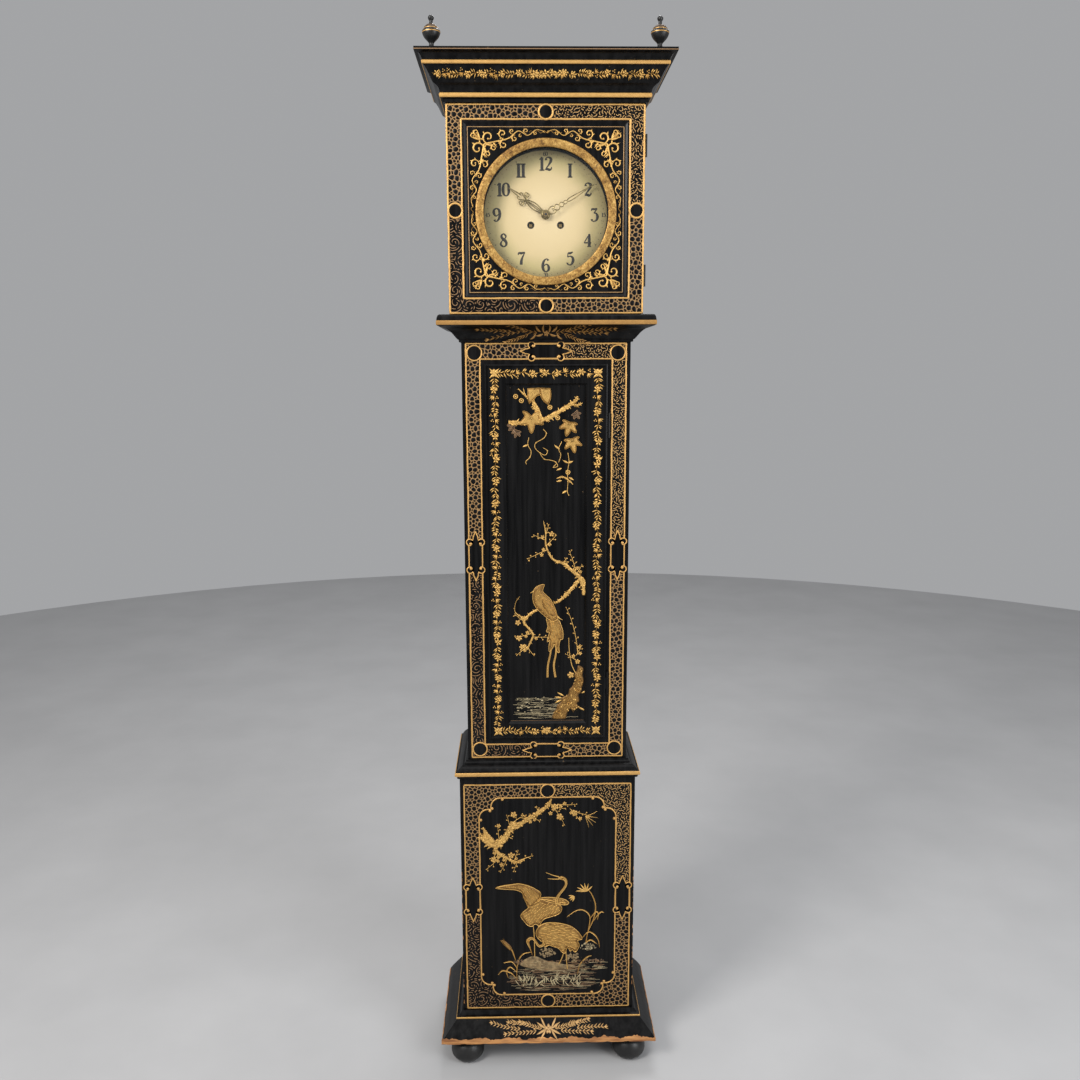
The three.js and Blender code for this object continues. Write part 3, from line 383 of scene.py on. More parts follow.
class Relief:
    """Raised work drawn in X and Z on a face that looks along -Y. face is y, or y as a function of z."""

    def __init__(self, face):
        self.face = face if callable(face) else (lambda z: face)
        self.points, self.faces, self.rise = [], [], []

    # crest is the point's rise: a low crest gives painted shade in the gilding, a high crest gives painted
    # highlight
    def put(self, x, z, height, crest=1.0):
        self.points.append((x, self.face(z) - height, z))
        self.rise.append(crest)
        return len(self.points) - 1

    def stroke(self, path, width, height, profile=ROUND, closed=False, crest=1.0):
        """A raised line along path. width is one number or one for each point."""
        path = np.asarray(path, float)[:, :2]
        width = np.broadcast_to(np.asarray(width, float), (len(path),))
        along = np.roll(path, -1, 0) - np.roll(path, 1, 0) if closed else np.gradient(path, axis=0)
        along /= np.maximum(np.hypot(*along.T), 1e-6)[:, None]
        side = np.stack([-along[:, 1], along[:, 0]], 1)
        widest = max(width.max(), 1e-6)
        rows = []
        for p, n, w in zip(path, side, width):
            top = height * min(1.0, 0.35 + 0.65 * w / widest)
            # crest follows the profile, so each stroke's sides get painted shade and its ridge gets painted
            # highlight
            rows.append([self.put(*(p - n * u * w / 2), top * v, crest * v) for u, v in profile])
        pairs = list(zip(rows, rows[1:] + rows[:1])) if closed else list(zip(rows, rows[1:]))
        for a, b in pairs:
            self.faces += [(a[i], a[i + 1], b[i + 1], b[i]) for i in range(len(profile) - 1)]

    def line(self, x0, z0, x1, z1, width, height=LINE, profile=ROUND, wander=0.0, step=12.0):
        """A hand-drawn straight line."""
        count = max(2, int(math.hypot(x1 - x0, z1 - z0) / step))
        t = np.linspace(0, 1, count)
        path = np.stack([x0 + (x1 - x0) * t, z0 + (z1 - z0) * t], 1)
        shift = np.array([[DRAW.uniform(-wander, wander), DRAW.uniform(-wander, wander)] for _ in t])
        self.stroke(path + shift, [width * DRAW.uniform(0.86, 1.12) for _ in t], height, profile)

    def dome(self, x, z, radius, height, sides=10, rim=0.0, squash=1.0, turn=0.0, crest=1.0):
        rings = []
        for share, lift, shade in ((1, rim, 0.0), (0.72, rim + (height - rim) * 0.72, 0.7)):
            rings.append([self.put(*swing(x, z, radius * share * math.cos(a),
                                          radius * share * squash * math.sin(a), turn), lift, shade * crest)
                          for a in np.linspace(0, TAU, sides, endpoint=False)])
        top = self.put(x, z, height, crest)
        for i in range(sides):
            j = (i + 1) % sides
            self.faces += [(rings[0][i], rings[0][j], rings[1][j], rings[1][i]),
                           (rings[1][i], rings[1][j], top)]

    def ring(self, x, z, radius, width, height, sides=20):
        self.stroke(circle(x, z, radius, sides), width, height, closed=True)

    def plate(self, outline, height, crest=0.6):
        """A flat filled outline."""
        self.fill(outline, np.empty((0, 2)), lambda spots: [(height, crest)] * len(spots))

    def body(self, outline, height, edge=3.0, pitch=2.0, tone=0.55, carve=None):
        """A filled, crowned outline. carve(x, z) cuts its surface, as for bark. Its gilding gets painted
        shade towards the edge and in the cuts.
        """
        outline = np.asarray(outline, float)[:, :2]
        low, high = outline.min(0), outline.max(0)
        grid = np.array([(x, z) for x in np.arange(low[0], high[0], pitch)
                         for z in np.arange(low[1], high[1], pitch)])
        grid = grid[inside(grid, outline)]
        grid = grid[edge_distance(grid, outline) > 0.45 * pitch]

        def crown(spots):
            near = np.clip(edge_distance(spots, outline) / edge, 0, 1)
            cuts = [carve(x, z) * n if carve else 0.0 for (x, z), n in zip(spots, near)]
            # painted shade: the crest falls towards the edge and in the carved grooves
            return [(height * math.sqrt(1 - (1 - n) ** 2) * (1 - c), tone * (0.25 + 0.75 * n) * (1 - 2.4 * c))
                    for n, c in zip(near, cuts)]

        self.fill(outline, grid, crown)

    def fill(self, outline, inner, shape):
        """Triangles over an outline and its inner points. shape(points) gives their heights and crests."""
        every = [Vector(p) for p in np.vstack([outline, inner])]
        spots, _, faces, _, _, _ = delaunay_2d_cdt(every, [], [list(range(len(outline)))], 1, 1e-5)
        where = np.array([tuple(p) for p in spots])
        at = [self.put(x, z, h, c) for (x, z), (h, c) in zip(where, shape(where))]
        self.faces += [tuple(at[i] for i in face) for face in faces]

    def build(self, name, material, body, slot="gilt", smooth=70, stands_for=()):
        return piece(name, self.points, self.faces, material, body, smooth, stands_for, self.rise)


DRAW = random.Random(11)


def swing(x, z, u, v, turn):
    """The point u along and v across from (x, z), with u turned by turn degrees from +X."""
    c, s = math.cos(math.radians(turn)), math.sin(math.radians(turn))
    return x + u * c - v * s, z + u * s + v * c


def circle(x, z, radius, sides):
    return np.array([(x + radius * math.cos(a), z + radius * math.sin(a))
                     for a in np.linspace(0, TAU, sides, endpoint=False)])


def rectangle(half, low, high):
    """The four sides of an upright rectangle centred on x = 0, as (x0, z0, x1, z1)."""
    return ((-half, low, half, low), (half, low, half, high), (half, high, -half, high),
            (-half, high, -half, low))


def inside(points, outline):
    """Which of the points lie inside a closed outline."""
    x, z = points[:, 0][:, None], points[:, 1][:, None]
    a, b = outline, np.roll(outline, -1, 0)
    crosses = (a[:, 1] > z) != (b[:, 1] > z)
    rise = np.where(b[:, 1] == a[:, 1], 1e-9, b[:, 1] - a[:, 1])
    crossing = (b[:, 0] - a[:, 0]) * (z - a[:, 1]) / rise + a[:, 0]
    return ((crosses & (x < crossing)).sum(1) % 2) == 1


def edge_distance(points, outline):
    """How far each point is from a closed outline."""
    a, b = outline[None], np.roll(outline, -1, 0)[None]
    ab = b - a
    t = ((points[:, None] - a) * ab).sum(2) / np.maximum((ab ** 2).sum(2), 1e-9)
    near = a + ab * np.clip(t, 0, 1)[..., None]
    return np.hypot(*(points[:, None] - near).transpose(2, 0, 1)).min(1)


def clothoid(x, z, heading, length, bend_from, bend_to, step=1.2):
    """A path whose curvature runs evenly from one value to another, in degrees per millimetre."""
    count = max(4, int(length / step))
    path = [(x, z)]
    angle = math.radians(heading)
    for i in range(count):
        x += length / count * math.cos(angle)
        z += length / count * math.sin(angle)
        path.append((x, z))
        angle += math.radians(bend_from + (bend_to - bend_from) * i / count) * length / count
    return np.array(path)


def swell(count, width, ends=0.35, peak=0.45):
    """Widths that swell to a peak and fall away to thin ends."""
    t = np.linspace(0, 1, count)
    shape = np.where(t < peak, t / peak, (1 - t) / (1 - peak))
    return width * (ends + (1 - ends) * np.sin(shape * math.pi / 2))


# ---------- motifs ----------
def leaf(work, x, z, heading, length, width, height=RAISED, bend=0.0, profile=ROUND):
    path = clothoid(x, z, heading, length, bend, bend, length / 6)
    work.stroke(path, swell(len(path), width, 0.06, 0.42), height, profile)


def blossom(work, x, z, radius, height=RAISED, petals=5, turn=None):
    turn = DRAW.uniform(0, 72) if turn is None else turn
    for i in range(petals):
        angle = turn + 360 * i / petals
        px, pz = swing(x, z, radius * 0.56, 0, angle)
        work.dome(px, pz, radius * 0.46, height * 0.85, 8, squash=0.86, turn=angle)
    work.dome(x, z, radius * 0.3, height * 1.15, 8, rim=height * 0.6)


def bud(work, x, z, radius, height=RAISED):
    work.dome(x, z, radius, height, 8)


def berry(work, x, z, radius):
    work.ring(x, z, radius * 0.8, radius * 0.45, RAISED, 14)
    work.dome(x, z, radius * 0.45, RAISED * 0.9, 8)


def branch(work, controls, height=RAISED, knots=0.0, profile=ROUND):
    """A branch through rows of (x, z, width). knots makes it craggy, with lumps and thorns."""
    path = spline(controls, 7)
    width = np.maximum(path[:, 2] * [1 + DRAW.uniform(-knots, knots) for _ in path], 0.5)
    work.stroke(path, width, height, profile)
    if not knots:
        return
    along = np.gradient(path[:, :2], axis=0)
    for i in range(1, len(path) - 1):
        if DRAW.random() < 0.3:
            dx, dz = path[i][0] - path[i - 1][0], path[i][1] - path[i - 1][1]
            away = math.degrees(math.atan2(dz, dx)) + DRAW.choice((-1, 1)) * DRAW.uniform(35, 75)
            leaf(work, *path[i][:2], away, width[i] * 0.75 + 2.2, width[i] * 0.26 + 0.8, height * 0.9)
        if width[i] < 3.0 or DRAW.random() > 0.85:
            continue
        side = DRAW.choice((-1, 1))
        heading = math.degrees(math.atan2(along[i][1], along[i][0]))
        size = width[i] * DRAW.uniform(0.24, 0.42)
        foot = swing(*path[i][:2], 0, side * width[i] * DRAW.uniform(0.12, 0.46), heading)
        work.dome(*foot, size, height * DRAW.uniform(1.3, 1.8), 7, rim=height * 0.4,
                  squash=DRAW.uniform(0.5, 0.9), turn=heading + DRAW.uniform(-40, 40))
        if DRAW.random() < 0.2:
            leaf(work, *swing(*path[i][:2], 0, side * width[i] * 0.4, heading), heading + side * 60,
                 width[i] * 0.55, width[i] * 0.24, height, profile=RIDGE)


def spray(work, x, z, heading, length, count, size, spread=30):
    """Slim bristles in pairs along a thin stalk, as on an ear of wheat."""
    path = clothoid(x, z, heading, length, DRAW.uniform(-0.25, 0.25), DRAW.uniform(-0.25, 0.25))
    work.stroke(path, 0.9, RAISED * 0.6, RIDGE)
    for i in range(count):
        at = path[int(i * (len(path) - 1) / (count - 1))]
        for side in (-1, 1):
            leaf(work, at[0], at[1], heading + side * DRAW.uniform(spread - 9, spread + 9),
                 size * DRAW.uniform(0.75, 1.15), size * 0.15, RAISED * 0.8, profile=FLAT)
    leaf(work, *path[-1], heading, size, size * 0.22, RAISED * 0.8, profile=FLAT)


def garland(work, x0, z0, x1, z1, breadth, pitch=11.0):
    """A run of leaf clusters, buds and blossoms along a wavy stem."""
    length = math.hypot(x1 - x0, z1 - z0)
    heading = math.degrees(math.atan2(z1 - z0, x1 - x0))
    count = int(length / pitch)
    stem = [swing(x0, z0, length * i / count, math.sin(i * 1.9) * breadth * 0.1, heading)
            for i in range(count + 1)]
    work.stroke(spline(stem, 3), 1.2, RAISED * 0.6, RIDGE)
    modules = (fern, fern, daisy, fan, fern, sprig, daisy, fan)
    for i in range(count):
        pick = modules[i % 8] if DRAW.random() < 0.75 else DRAW.choice(modules)
        pick(work, *stem[i], heading + DRAW.uniform(-9, 9), breadth)


def fern(work, x, z, heading, breadth):
    """Two pairs of slim leaves that point along the stem."""
    for along, spread, share in ((0, 58, 0.5), (3.6, 42, 0.44)):
        for side in (-1, 1):
            foot = swing(x, z, along + DRAW.uniform(-0.8, 0.8), side * 0.6, heading)
            leaf(work, *foot, heading + side * spread * DRAW.uniform(0.85, 1.2),
                 breadth * share * DRAW.uniform(0.85, 1.15), breadth * DRAW.uniform(0.13, 0.165), GARLAND,
                 side * DRAW.uniform(-3.5, 1.0))


def daisy(work, x, z, heading, breadth):
    """A five-petalled flower with pointed petals and a leaf each side."""
    turn = DRAW.uniform(0, 72)
    for side in (-1, 1):
        leaf(work, x, z, heading + side * 128, breadth * 0.5, breadth * 0.15, GARLAND * 0.7)
    for i in range(5):
        angle = turn + 72 * i
        foot = swing(x, z, breadth * 0.07, 0, angle)
        leaf(work, *foot, angle, breadth * 0.32, breadth * 0.22, GARLAND)
    work.dome(x, z, breadth * 0.1, GARLAND * 1.2, 8, rim=GARLAND * 0.6)


def fan(work, x, z, heading, breadth):
    """A fan of narrow leaves on one side and berries on the other."""
    side = DRAW.choice((-1, 1))
    for spread in (12, 38, 64, 92):
        leaf(work, x, z, heading + side * spread, breadth * DRAW.uniform(0.42, 0.58), breadth * 0.13, GARLAND,
             side * -1.5)
    for along, across in ((0.5, 0.3), (3.8, 0.2), (3.2, 0.42)):
        bud(work, *swing(x, z, along, -side * breadth * across, heading), breadth * 0.085, GARLAND)


def sprig(work, x, z, heading, breadth):
    """Round leaflets set alternately."""
    for i, side in enumerate((-1, 1, -1, 1)):
        foot = swing(x, z, i * 2.2, side * 0.8, heading)
        leaf(work, *foot, heading + side * 66, breadth * 0.36, breadth * 0.2, GARLAND)


# ---------- the mosaic grounds ----------
def scatter(region, sizes, tries, box, pack=0.97):
    """Random centres, large ones first, kept apart by their radii. Returns rows of (x, z, radius)."""
    kept, grid = [], {}
    reach = 2 * max(sizes)
    for radius, attempts in zip(sizes, tries):
        for _ in range(attempts):
            x, z = DRAW.uniform(box[0], box[2]), DRAW.uniform(box[1], box[3])
            if not region(x, z):
                continue
            gx, gz = int(x // reach), int(z // reach)
            near = [kept[k] for i in (-1, 0, 1) for j in (-1, 0, 1) for k in grid.get((gx + i, gz + j), ())]
            if all(math.hypot(x - a, z - b) > (radius + r) * pack for a, b, r in near):
                grid.setdefault((gx, gz), []).append(len(kept))
                kept.append((x, z, radius))
    return np.array(kept)


def clip(outline, nx, nz, limit):
    """The part of a convex outline where nx*x + nz*z <= limit."""
    made = []
    for (ax, az), (bx, bz) in zip(outline, outline[1:] + outline[:1]):
        a, b = nx * ax + nz * az - limit, nx * bx + nz * bz - limit
        if a <= 0:
            made.append((ax, az))
        if (a < 0 < b) or (b < 0 < a):
            t = a / (a - b)
            made.append((ax + t * (bx - ax), az + t * (bz - az)))
    return made


def pebbles(work, region, box, gap=1.3):
    """Rounded black stones with the golden ground showing between them."""
    area = (box[2] - box[0]) * (box[3] - box[1])
    tries = [int(area * share) for share in (0.03, 0.1, 0.5)]
    seeds = scatter(region, (4.9, 3.6, 2.5), tries, box, 0.86)
    for x, z, radius in seeds:
        apart = seeds[:, :2] - (x, z)
        distance = np.hypot(*apart.T)
        near = np.flatnonzero((distance > 0) & (distance < radius + 10))
        reach = radius + 1.7
        outline = [swing(x, z, reach * math.cos(a), reach * math.sin(a), 0)
                   for a in np.linspace(0, TAU, 8, endpoint=False)]
        for k in near:
            nx, nz = apart[k] / distance[k]
            share = (distance[k] ** 2 + radius ** 2 - seeds[k, 2] ** 2) / (2 * distance[k]) - gap / 2
            outline = clip(outline, nx, nz, nx * x + nz * z + share)
            if len(outline) < 3:
                break
        for nx, nz, limit in ((-1, 0, -box[0]), (1, 0, box[2]), (0, -1, -box[1]), (0, 1, box[3])):
            outline = clip(outline, nx, nz, limit) if outline else outline
        if len(outline) >= 3:
            stone(work, rounded(outline))


def rounded(outline):
    """The outline with its corners cut off."""
    made = []
    for (ax, az), (bx, bz) in zip(outline, outline[1:] + outline[:1]):
        if math.hypot(bx - ax, bz - az) > 0.25:
            made += [(ax * 0.72 + bx * 0.28, az * 0.72 + bz * 0.28),
                     (ax * 0.28 + bx * 0.72, az * 0.28 + bz * 0.72)]
    return made


def stone(work, outline):
    """A flat-topped stone with sloped sides."""
    if len(outline) < 4:
        return
    cx, cz = np.mean(outline, 0)
    low = [work.put(x, z, GROUND) for x, z in outline]
    high = [work.put(cx + (x - cx) * 0.86, cz + (z - cz) * 0.86, PEBBLE) for x, z in outline]
    n = len(outline)
    work.faces += [(low[i], low[(i + 1) % n], high[(i + 1) % n], high[i]) for i in range(n)]
    work.faces.append(tuple(high))


def curls(work, region, box, whorls, spacing, width):
    """Short hooked strokes packed close together, or arcs that ring a few whorls."""
    cell = 0.8
    shape = (int((box[2] - box[0]) / cell) + 3, int((box[3] - box[1]) / cell) + 3)
    taken = np.zeros(shape, int)
    reach = int(round(spacing * 0.78 / cell))
    centres = scatter(region, (13, 9), (500, 700), box)

    def spot(x, z):
        return int((x - box[0]) / cell) + 1, int((z - box[1]) / cell) + 1

    def free(x, z, mark):
        i, j = spot(x, z)
        if not (0 <= i < shape[0] and 0 <= j < shape[1]) or not region(x, z):
            return False
        return taken[i, j] in (0, mark)

    area = (box[2] - box[0]) * (box[3] - box[1])
    for mark in range(1, int(area / 2.2)):
        x, z = DRAW.uniform(box[0], box[2]), DRAW.uniform(box[1], box[3])
        if not free(x, z, mark):
            continue
        angle = DRAW.uniform(0, TAU)
        bend = DRAW.choice((-1, 1)) / DRAW.uniform(2.0, 6.5)
        flip = DRAW.randint(5, 12)
        path = [(x, z)]
        for step in range(26 if whorls else 17):
            if whorls and len(centres):
                away = centres[:, :2] - path[-1]
                pick = away[np.argmin(np.hypot(*away.T))]
                angle = math.atan2(pick[0], -pick[1]) + 0.18
            elif step == flip:
                bend = -bend
            angle += 0 if whorls else bend * 0.9
            x, z = path[-1][0] + 0.9 * math.cos(angle), path[-1][1] + 0.9 * math.sin(angle)
            if not free(x, z, mark):
                break
            path.append((x, z))
        if len(path) < 4:
            continue
        for px, pz in path:
            i, j = spot(px, pz)
            block = taken[max(i - reach, 0):i + reach + 1, max(j - reach, 0):j + reach + 1]
            block[block == 0] = mark
        work.stroke(path, swell(len(path), width, 0.55, 0.35), THREAD, FLAT)


class Banding:
    """The gilt-lined mosaic frame of one front: pebbles at two opposite corners, curls at the others."""

    def __init__(self, name, face, body, outer, inner, gusset=None):
        self.name, self.face, self.body = name, face, body
        self.outer, self.inner = outer, inner
        self.gusset = gusset or (lambda x, z: False)

    def within(self, x, z):
        half_o, low_o, high_o = self.outer
        half_i, low_i, high_i = self.inner
        if not (abs(x) < half_o - 1.2 and low_o + 1.2 < z < high_o - 1.2):
            return False
        in_light = abs(x) < half_i + 1.2 and low_i - 1.2 < z < high_i + 1.2
        return not in_light or self.gusset(x, z)

    def ground(self, top):
        """The gold ground below the pebbles of one corner, as one L-shaped plate."""
        half_o, low_o, high_o = self.outer
        half_i, low_i, high_i = self.inner
        mid = (low_o + high_o) / 2
        side, inner, outer = (-1, high_i, high_o) if top else (1, low_i, low_o)
        work = Relief(self.face)
        work.plate([(side * half_o, mid), (side * half_i, mid), (side * half_i, inner), (0, inner),
                    (0, outer), (side * half_o, outer)], GROUND)
        work.build(f"{self.name}_ground_{'top' if top else 'low'}", GILT_NET, self.body)

    def fill(self):
        half_o, low_o, high_o = self.outer
        mid = (low_o + high_o) / 2
        for top in (True, False):
            self.ground(top)
            low, high = (mid, high_o) if top else (low_o, mid)
            dark = (-half_o, low, 0, high) if top else (0, low, half_o, high)
            light = (0, low, half_o, high) if top else (-half_o, low, 0, high)
            tag, spacing = ("top", 2.05) if top else ("low", 2.7)
            stones = Relief(self.face)
            pebbles(stones, self.within, dark)
            stones.build(f"{self.name}_pebbles_{tag}", PEBBLE_BLACK, self.body, "black_lacquer", 40)
            threads = Relief(self.face)
            curls(threads, self.within, light, not top, spacing, 1.45)
            threads.build(f"{self.name}_curls_{tag}", GILT_THREAD if top else GILT_DIM, self.body)

    def lines(self, work, width=3.6, inner=True):
        sides = [self.outer] + ([self.inner] if inner else [])
        for half, low, high in sides:
            for side in rectangle(half, low, high):
                work.line(*side, width, wander=0.25)


def roundel(plates, work, x, z, radius=12.6, width=3.2):
    """A black disc inside a gilt ring."""
    plates.plate(circle(x, z, radius + width * 0.6, 32), PLATE)
    work.ring(x, z, radius + width / 2, width, RAISED, 36)


def cartouche(plates, work, x, z, turn, half=13.6, reach=28.0, tip=50.0):
    """A black strapwork plate with four curled corners and two pointed ends."""
    def at(rows):
        return [swing(x, z, u, v, turn) for u, v in rows]

    outline = []
    for su, sv in ((1, 1), (1, -1), (-1, -1), (-1, 1)):
        rows = [(reach - 4, half), (reach + 4.5, half - 6), (reach + 11, 4.6), (tip, 0)]
        rows = rows if su * sv > 0 else rows[::-1]
        outline += [(u * su, v * sv) for u, v in rows]
    plates.plate(at(outline[::-1]), PLATE)
    hub = half - 1.8
    for sv in (-1, 1):
        work.stroke(at([(u, sv * half) for u in np.linspace(-reach + 6, reach - 6, 9)]), 3.0, RAISED)
        for su in (-1, 1):
            plates.plate(circle(*at([(su * reach, sv * hub)])[0], 7.0, 20), PLATE)
            hook = [(reach + 6.4 * math.cos(a), hub + 6.4 * math.sin(a))
                    for a in np.radians(np.linspace(205, -58, 20))]
            hook += [(reach + 7.4, hub - 6.8), (reach + 11.5, 4.4), (reach + 16, 2.2), (tip, 0)]
            path = at([(u * su, v * sv) for u, v in hook])
            work.stroke(path, 2.7, RAISED)
            work.dome(*at([(su * (reach - 3.2), sv * (hub - 1.8))])[0], 3.6, RAISED * 1.15, 14)


# ---------- case mouldings, feet and finials ----------
PLINTH = ([(-40, 55), (44, 55), (45, 56.2), (45, 60)]
          + curve([(45, 60), (42, 64), (36, 71), (28, 79), (20, 87), (14.6, 92)], 4)[1:]
          + [(14.6, 97), (9.5, 98.2), (8.6, 99.5), (4, 105), (0.2, 105), (0.2, 59.7), (-40, 59.7)])
WAIST = ([(0.2, 626.2), (20, 626.2), (22, 628), (22.6, 632), (25, 633), (25, 641)]
         + curve([(22, 642), (20.4, 644.5), (17, 648.5), (12, 651.8), (7.6, 653.6)], 4)
         + [(7, 656), (5.4, 657.4), (4.6, 661), (0.2, 661)])
THROAT = ([(0.2, 1500), (4, 1500), (4.4, 1504)]
          + curve([(6.6, 1505), (9.4, 1508), (13.4, 1513), (19, 1519), (27, 1524.4), (40, 1528.4)], 4)
          + [(42, 1529.6), (43, 1530), (43, 1538)]
          + curve([(43, 1539), (42.2, 1543.5), (40.6, 1547.6), (37.6, 1549.7)], 3)
          + [(0.2, 1549.7)])
CORNICE = ([(0.3, 1924.3), (4, 1924.3), (4.6, 1930), (8.5, 1931.5), (8.5, 1940)]
           + curve([(9.4, 1941), (10.6, 1946), (14.4, 1950.6), (20, 1954)], 4)
           + curve([(21.6, 1956), (25, 1963), (29, 1971), (34, 1978.4)], 3)
           + [(36.8, 1980), (36.8, 1987)]
           + curve([(37.6, 1988), (39, 1992.4), (43, 1997), (49.6, 1999.2)], 4)
           + [(50.4, 1999.5), (50.4, 2005), (0.3, 2005)])


def build_mouldings():
    swept(PLINTH, BASE_HALF, BASE_FACE, "plinth_run", BLACK, "case", ("plinth_moulding",))
    swept(WAIST, TRUNK_HALF, TRUNK_FACE, "waist_run", BLACK, "case", ("waist_moulding",))
    swept(THROAT, TRUNK_HALF, TRUNK_FACE, "throat_run", BLACK, "case", ("throat_moulding",))
    swept(CORNICE, HOOD_HALF, HOOD_FACE, "cornice_run", BLACK, "hood", ("cornice",))
    bead("plinth_bead", 92.6, 96.6, 14.6, BASE_HALF, BASE_FACE, "case", GILT_LINE, 0.8)
    bead("waist_bead", 633, 641, 25, TRUNK_HALF, TRUNK_FACE, "case", GILT_LINE, 1.6)
    bead("throat_band", 1530.4, 1538.4, 43, TRUNK_HALF, TRUNK_FACE, "case", GILT_BAND, 0.6)
    bead("cornice_low_bead", 1931.8, 1939.8, 8.5, HOOD_HALF, HOOD_FACE, "hood", GILT_LINE, 1.6)
    bead("cornice_high_bead", 1980.2, 1986.8, 36.8, HOOD_HALF, HOOD_FACE, "hood", GILT_LINE, 1.6)
    bead("cornice_top_line", 2000.2, 2001.6, 50.4, HOOD_HALF, HOOD_FACE, "hood", GILT_DIM, 0.2)


FOOT = ([(0, 0), (18, 0)]
        + curve([(20, 0.2), (28, 4.4), (33.6, 12), (35, 20), (34, 29), (30, 37.5), (24.6, 43), (19.4, 46)], 5)
        + [(19, 47.5), (21.5, 50), (23, 52), (23, 54.7), (0, 54.7)])
FINIAL = ([(0, 0), (12, 0), (12.4, 1.5), (12, 3)]
          + curve([(10.4, 3.6), (6, 6.6), (4.4, 10), (4.6, 13), (7.6, 16.6), (12.6, 22), (15.4, 27.4),
                   (16, 31)], 5)
          + [(16, 33.2), (15, 34)]
          + curve([(14, 35), (12.2, 39), (8.6, 42.4), (4.6, 44.6), (3.3, 47), (3, 50)], 4)
          + curve([(4.2, 51.4), (5.4, 54.6), (4.2, 57.8), (1.6, 59.5), (0, 59.7)], 3))
LID = [(13.6, 35.6), (12.5, 39), (8.9, 42.6), (8.3, 42.4)]


def build_turnings():
    for side in ("left", "right"):
        for end in ("front", "back"):
            node = f"foot_{end}_{side}"
            turned(f"bun_{end}_{side}", FOOT, (*axis_mm(node), 0), FOOT_BLACK, "case",
                   stands_for=(node,))
        node = f"finial_{side}"
        at = (*axis_mm(node), corner_mm(node)[0][2])
        turned(f"urn_{side}", FINIAL, at, FOOT_BLACK, "hood", 48, stands_for=(node,))
        turned(f"urn_lid_{side}", LID, at, LID_BROWN, "hood", 48)
        for tag, z, r in (("belly", 30.6, 16.0), ("lid", 36.4, 13.2)):
            rim = [(r - 0.4, z - 1), (r + 0.35, z - 0.5), (r + 0.35, z + 0.5), (r - 0.4, z + 1)]
            turned(f"urn_{tag}_line_{side}", rim, at, GILT_LINE, "hood", 48)


# ---------- hood ----------
HOOD_OUTER = (180.4, HOOD_LOW + 1.6, HOOD_HIGH - 1.4)
HOOD_INNER = (154.6, HOOD_LOW + 28.6, HOOD_HIGH - 26.6)
SPANDREL = (143.0, 1590.5, 1884.0)


def build_hood_banding():
    band = Banding("hood", HOOD_FACE, "hood_door", HOOD_OUTER, HOOD_INNER)
    band.fill()
    lines, plates = Relief(HOOD_FACE), Relief(HOOD_FACE)
    band.lines(lines, 3.6)
    middle_z = DIAL_Z + 3
    for x, z in ((0, (HOOD_OUTER[2] + HOOD_INNER[2]) / 2), (0, (HOOD_OUTER[1] + HOOD_INNER[1]) / 2),
                 (-167.5, middle_z), (167.5, middle_z)):
        roundel(plates, lines, x, z, 10.8, 4.2)
    plates.build("hood_roundel_plates", PEBBLE_BLACK, "hood_door", "black_lacquer")
    lines.build("hood_gilt_lines", GILT_LINE, "hood_door")


def build_spandrels():
    half, low, high = SPANDREL
    edge = Relief(SPANDREL_FACE)
    for side in rectangle(half, low, high):
        edge.line(*side, 1.5, 0.5, RIDGE, wander=0.12)
    edge.build("spandrel_fine_line", GILT_NET, "hood_door")
    work = Relief(SPANDREL_FACE)
    for sx, sz in ((-1, 1), (1, 1), (1, -1), (-1, -1)):
        corner_scrolls(work, sx, sz, half, high if sz > 0 else low)
    for sx in (-1, 1):
        vine(work, [(sx * (half - 6.6), z) for z in np.linspace(DIAL_Z - 46, DIAL_Z + 46, 56)])
    vine(work, [(x, high - 9) for x in np.linspace(-30, 30, 38)])
    vine(work, [(x, low + 5.6) for x in np.linspace(-30, 30, 38)])
    work.build("spandrel_scrolls", GILT, "hood_door")


def vine(work, path):
    """A thin wavy line along a row of evenly spaced points."""
    path = np.array(path)
    along = path[-1] - path[0]
    along /= np.hypot(*along)
    across = np.array([-along[1], along[0]])
    waved = [p + across * 2.0 * math.sin(i * 0.85) for i, p in enumerate(path)]
    work.stroke(waved, swell(len(waved), 1.3, 0.6, 0.5), 0.8, RIDGE)


# half a spandrel, measured from the corner along one edge and in from it
# the wavy stem's rows are (along, in, width), the volutes' are (along, in, radius, start, turn, width)
# and the leaves' are (along, in, heading, length, width)
CORNER_STEM = ((141, 8, 1.2), (125, 5.5, 1.8), (110, 15, 2.2), (93, 7.5, 2.6), (75, 20, 3.2), (54, 25, 3.6),
               (30, 30, 4.2))
CORNER_VOLUTES = ((38, 18, 12.5, 62, 400, 4.4), (64, 12, 8.4, 75, 400, 3.6),
                  (66, 31, 8.4, -62, -400, 3.4), (48, 36.5, 7, -40, -380, 3.2),
                  (86, 20.5, 6.2, -80, -380, 2.9), (81, 7.6, 4.8, 75, 360, 2.6),
                  (107, 7.4, 5.2, 80, 370, 2.6), (124, 11, 4.2, -85, -360, 2.2),
                  (16, 9.6, 6.4, 60, 380, 3.0), (97, 15.6, 3.6, -80, -330, 2.0))
CORNER_LEAVES = ((22, 22, 225, 20, 5.4), (24, 23, 196, 17, 4.0), (30, 33, 75, 17, 4.0), (53, 25, 12, 12, 3.2),
                 (46, 27, 50, 12, 3.0), (137, 8, 30, 6, 1.8))


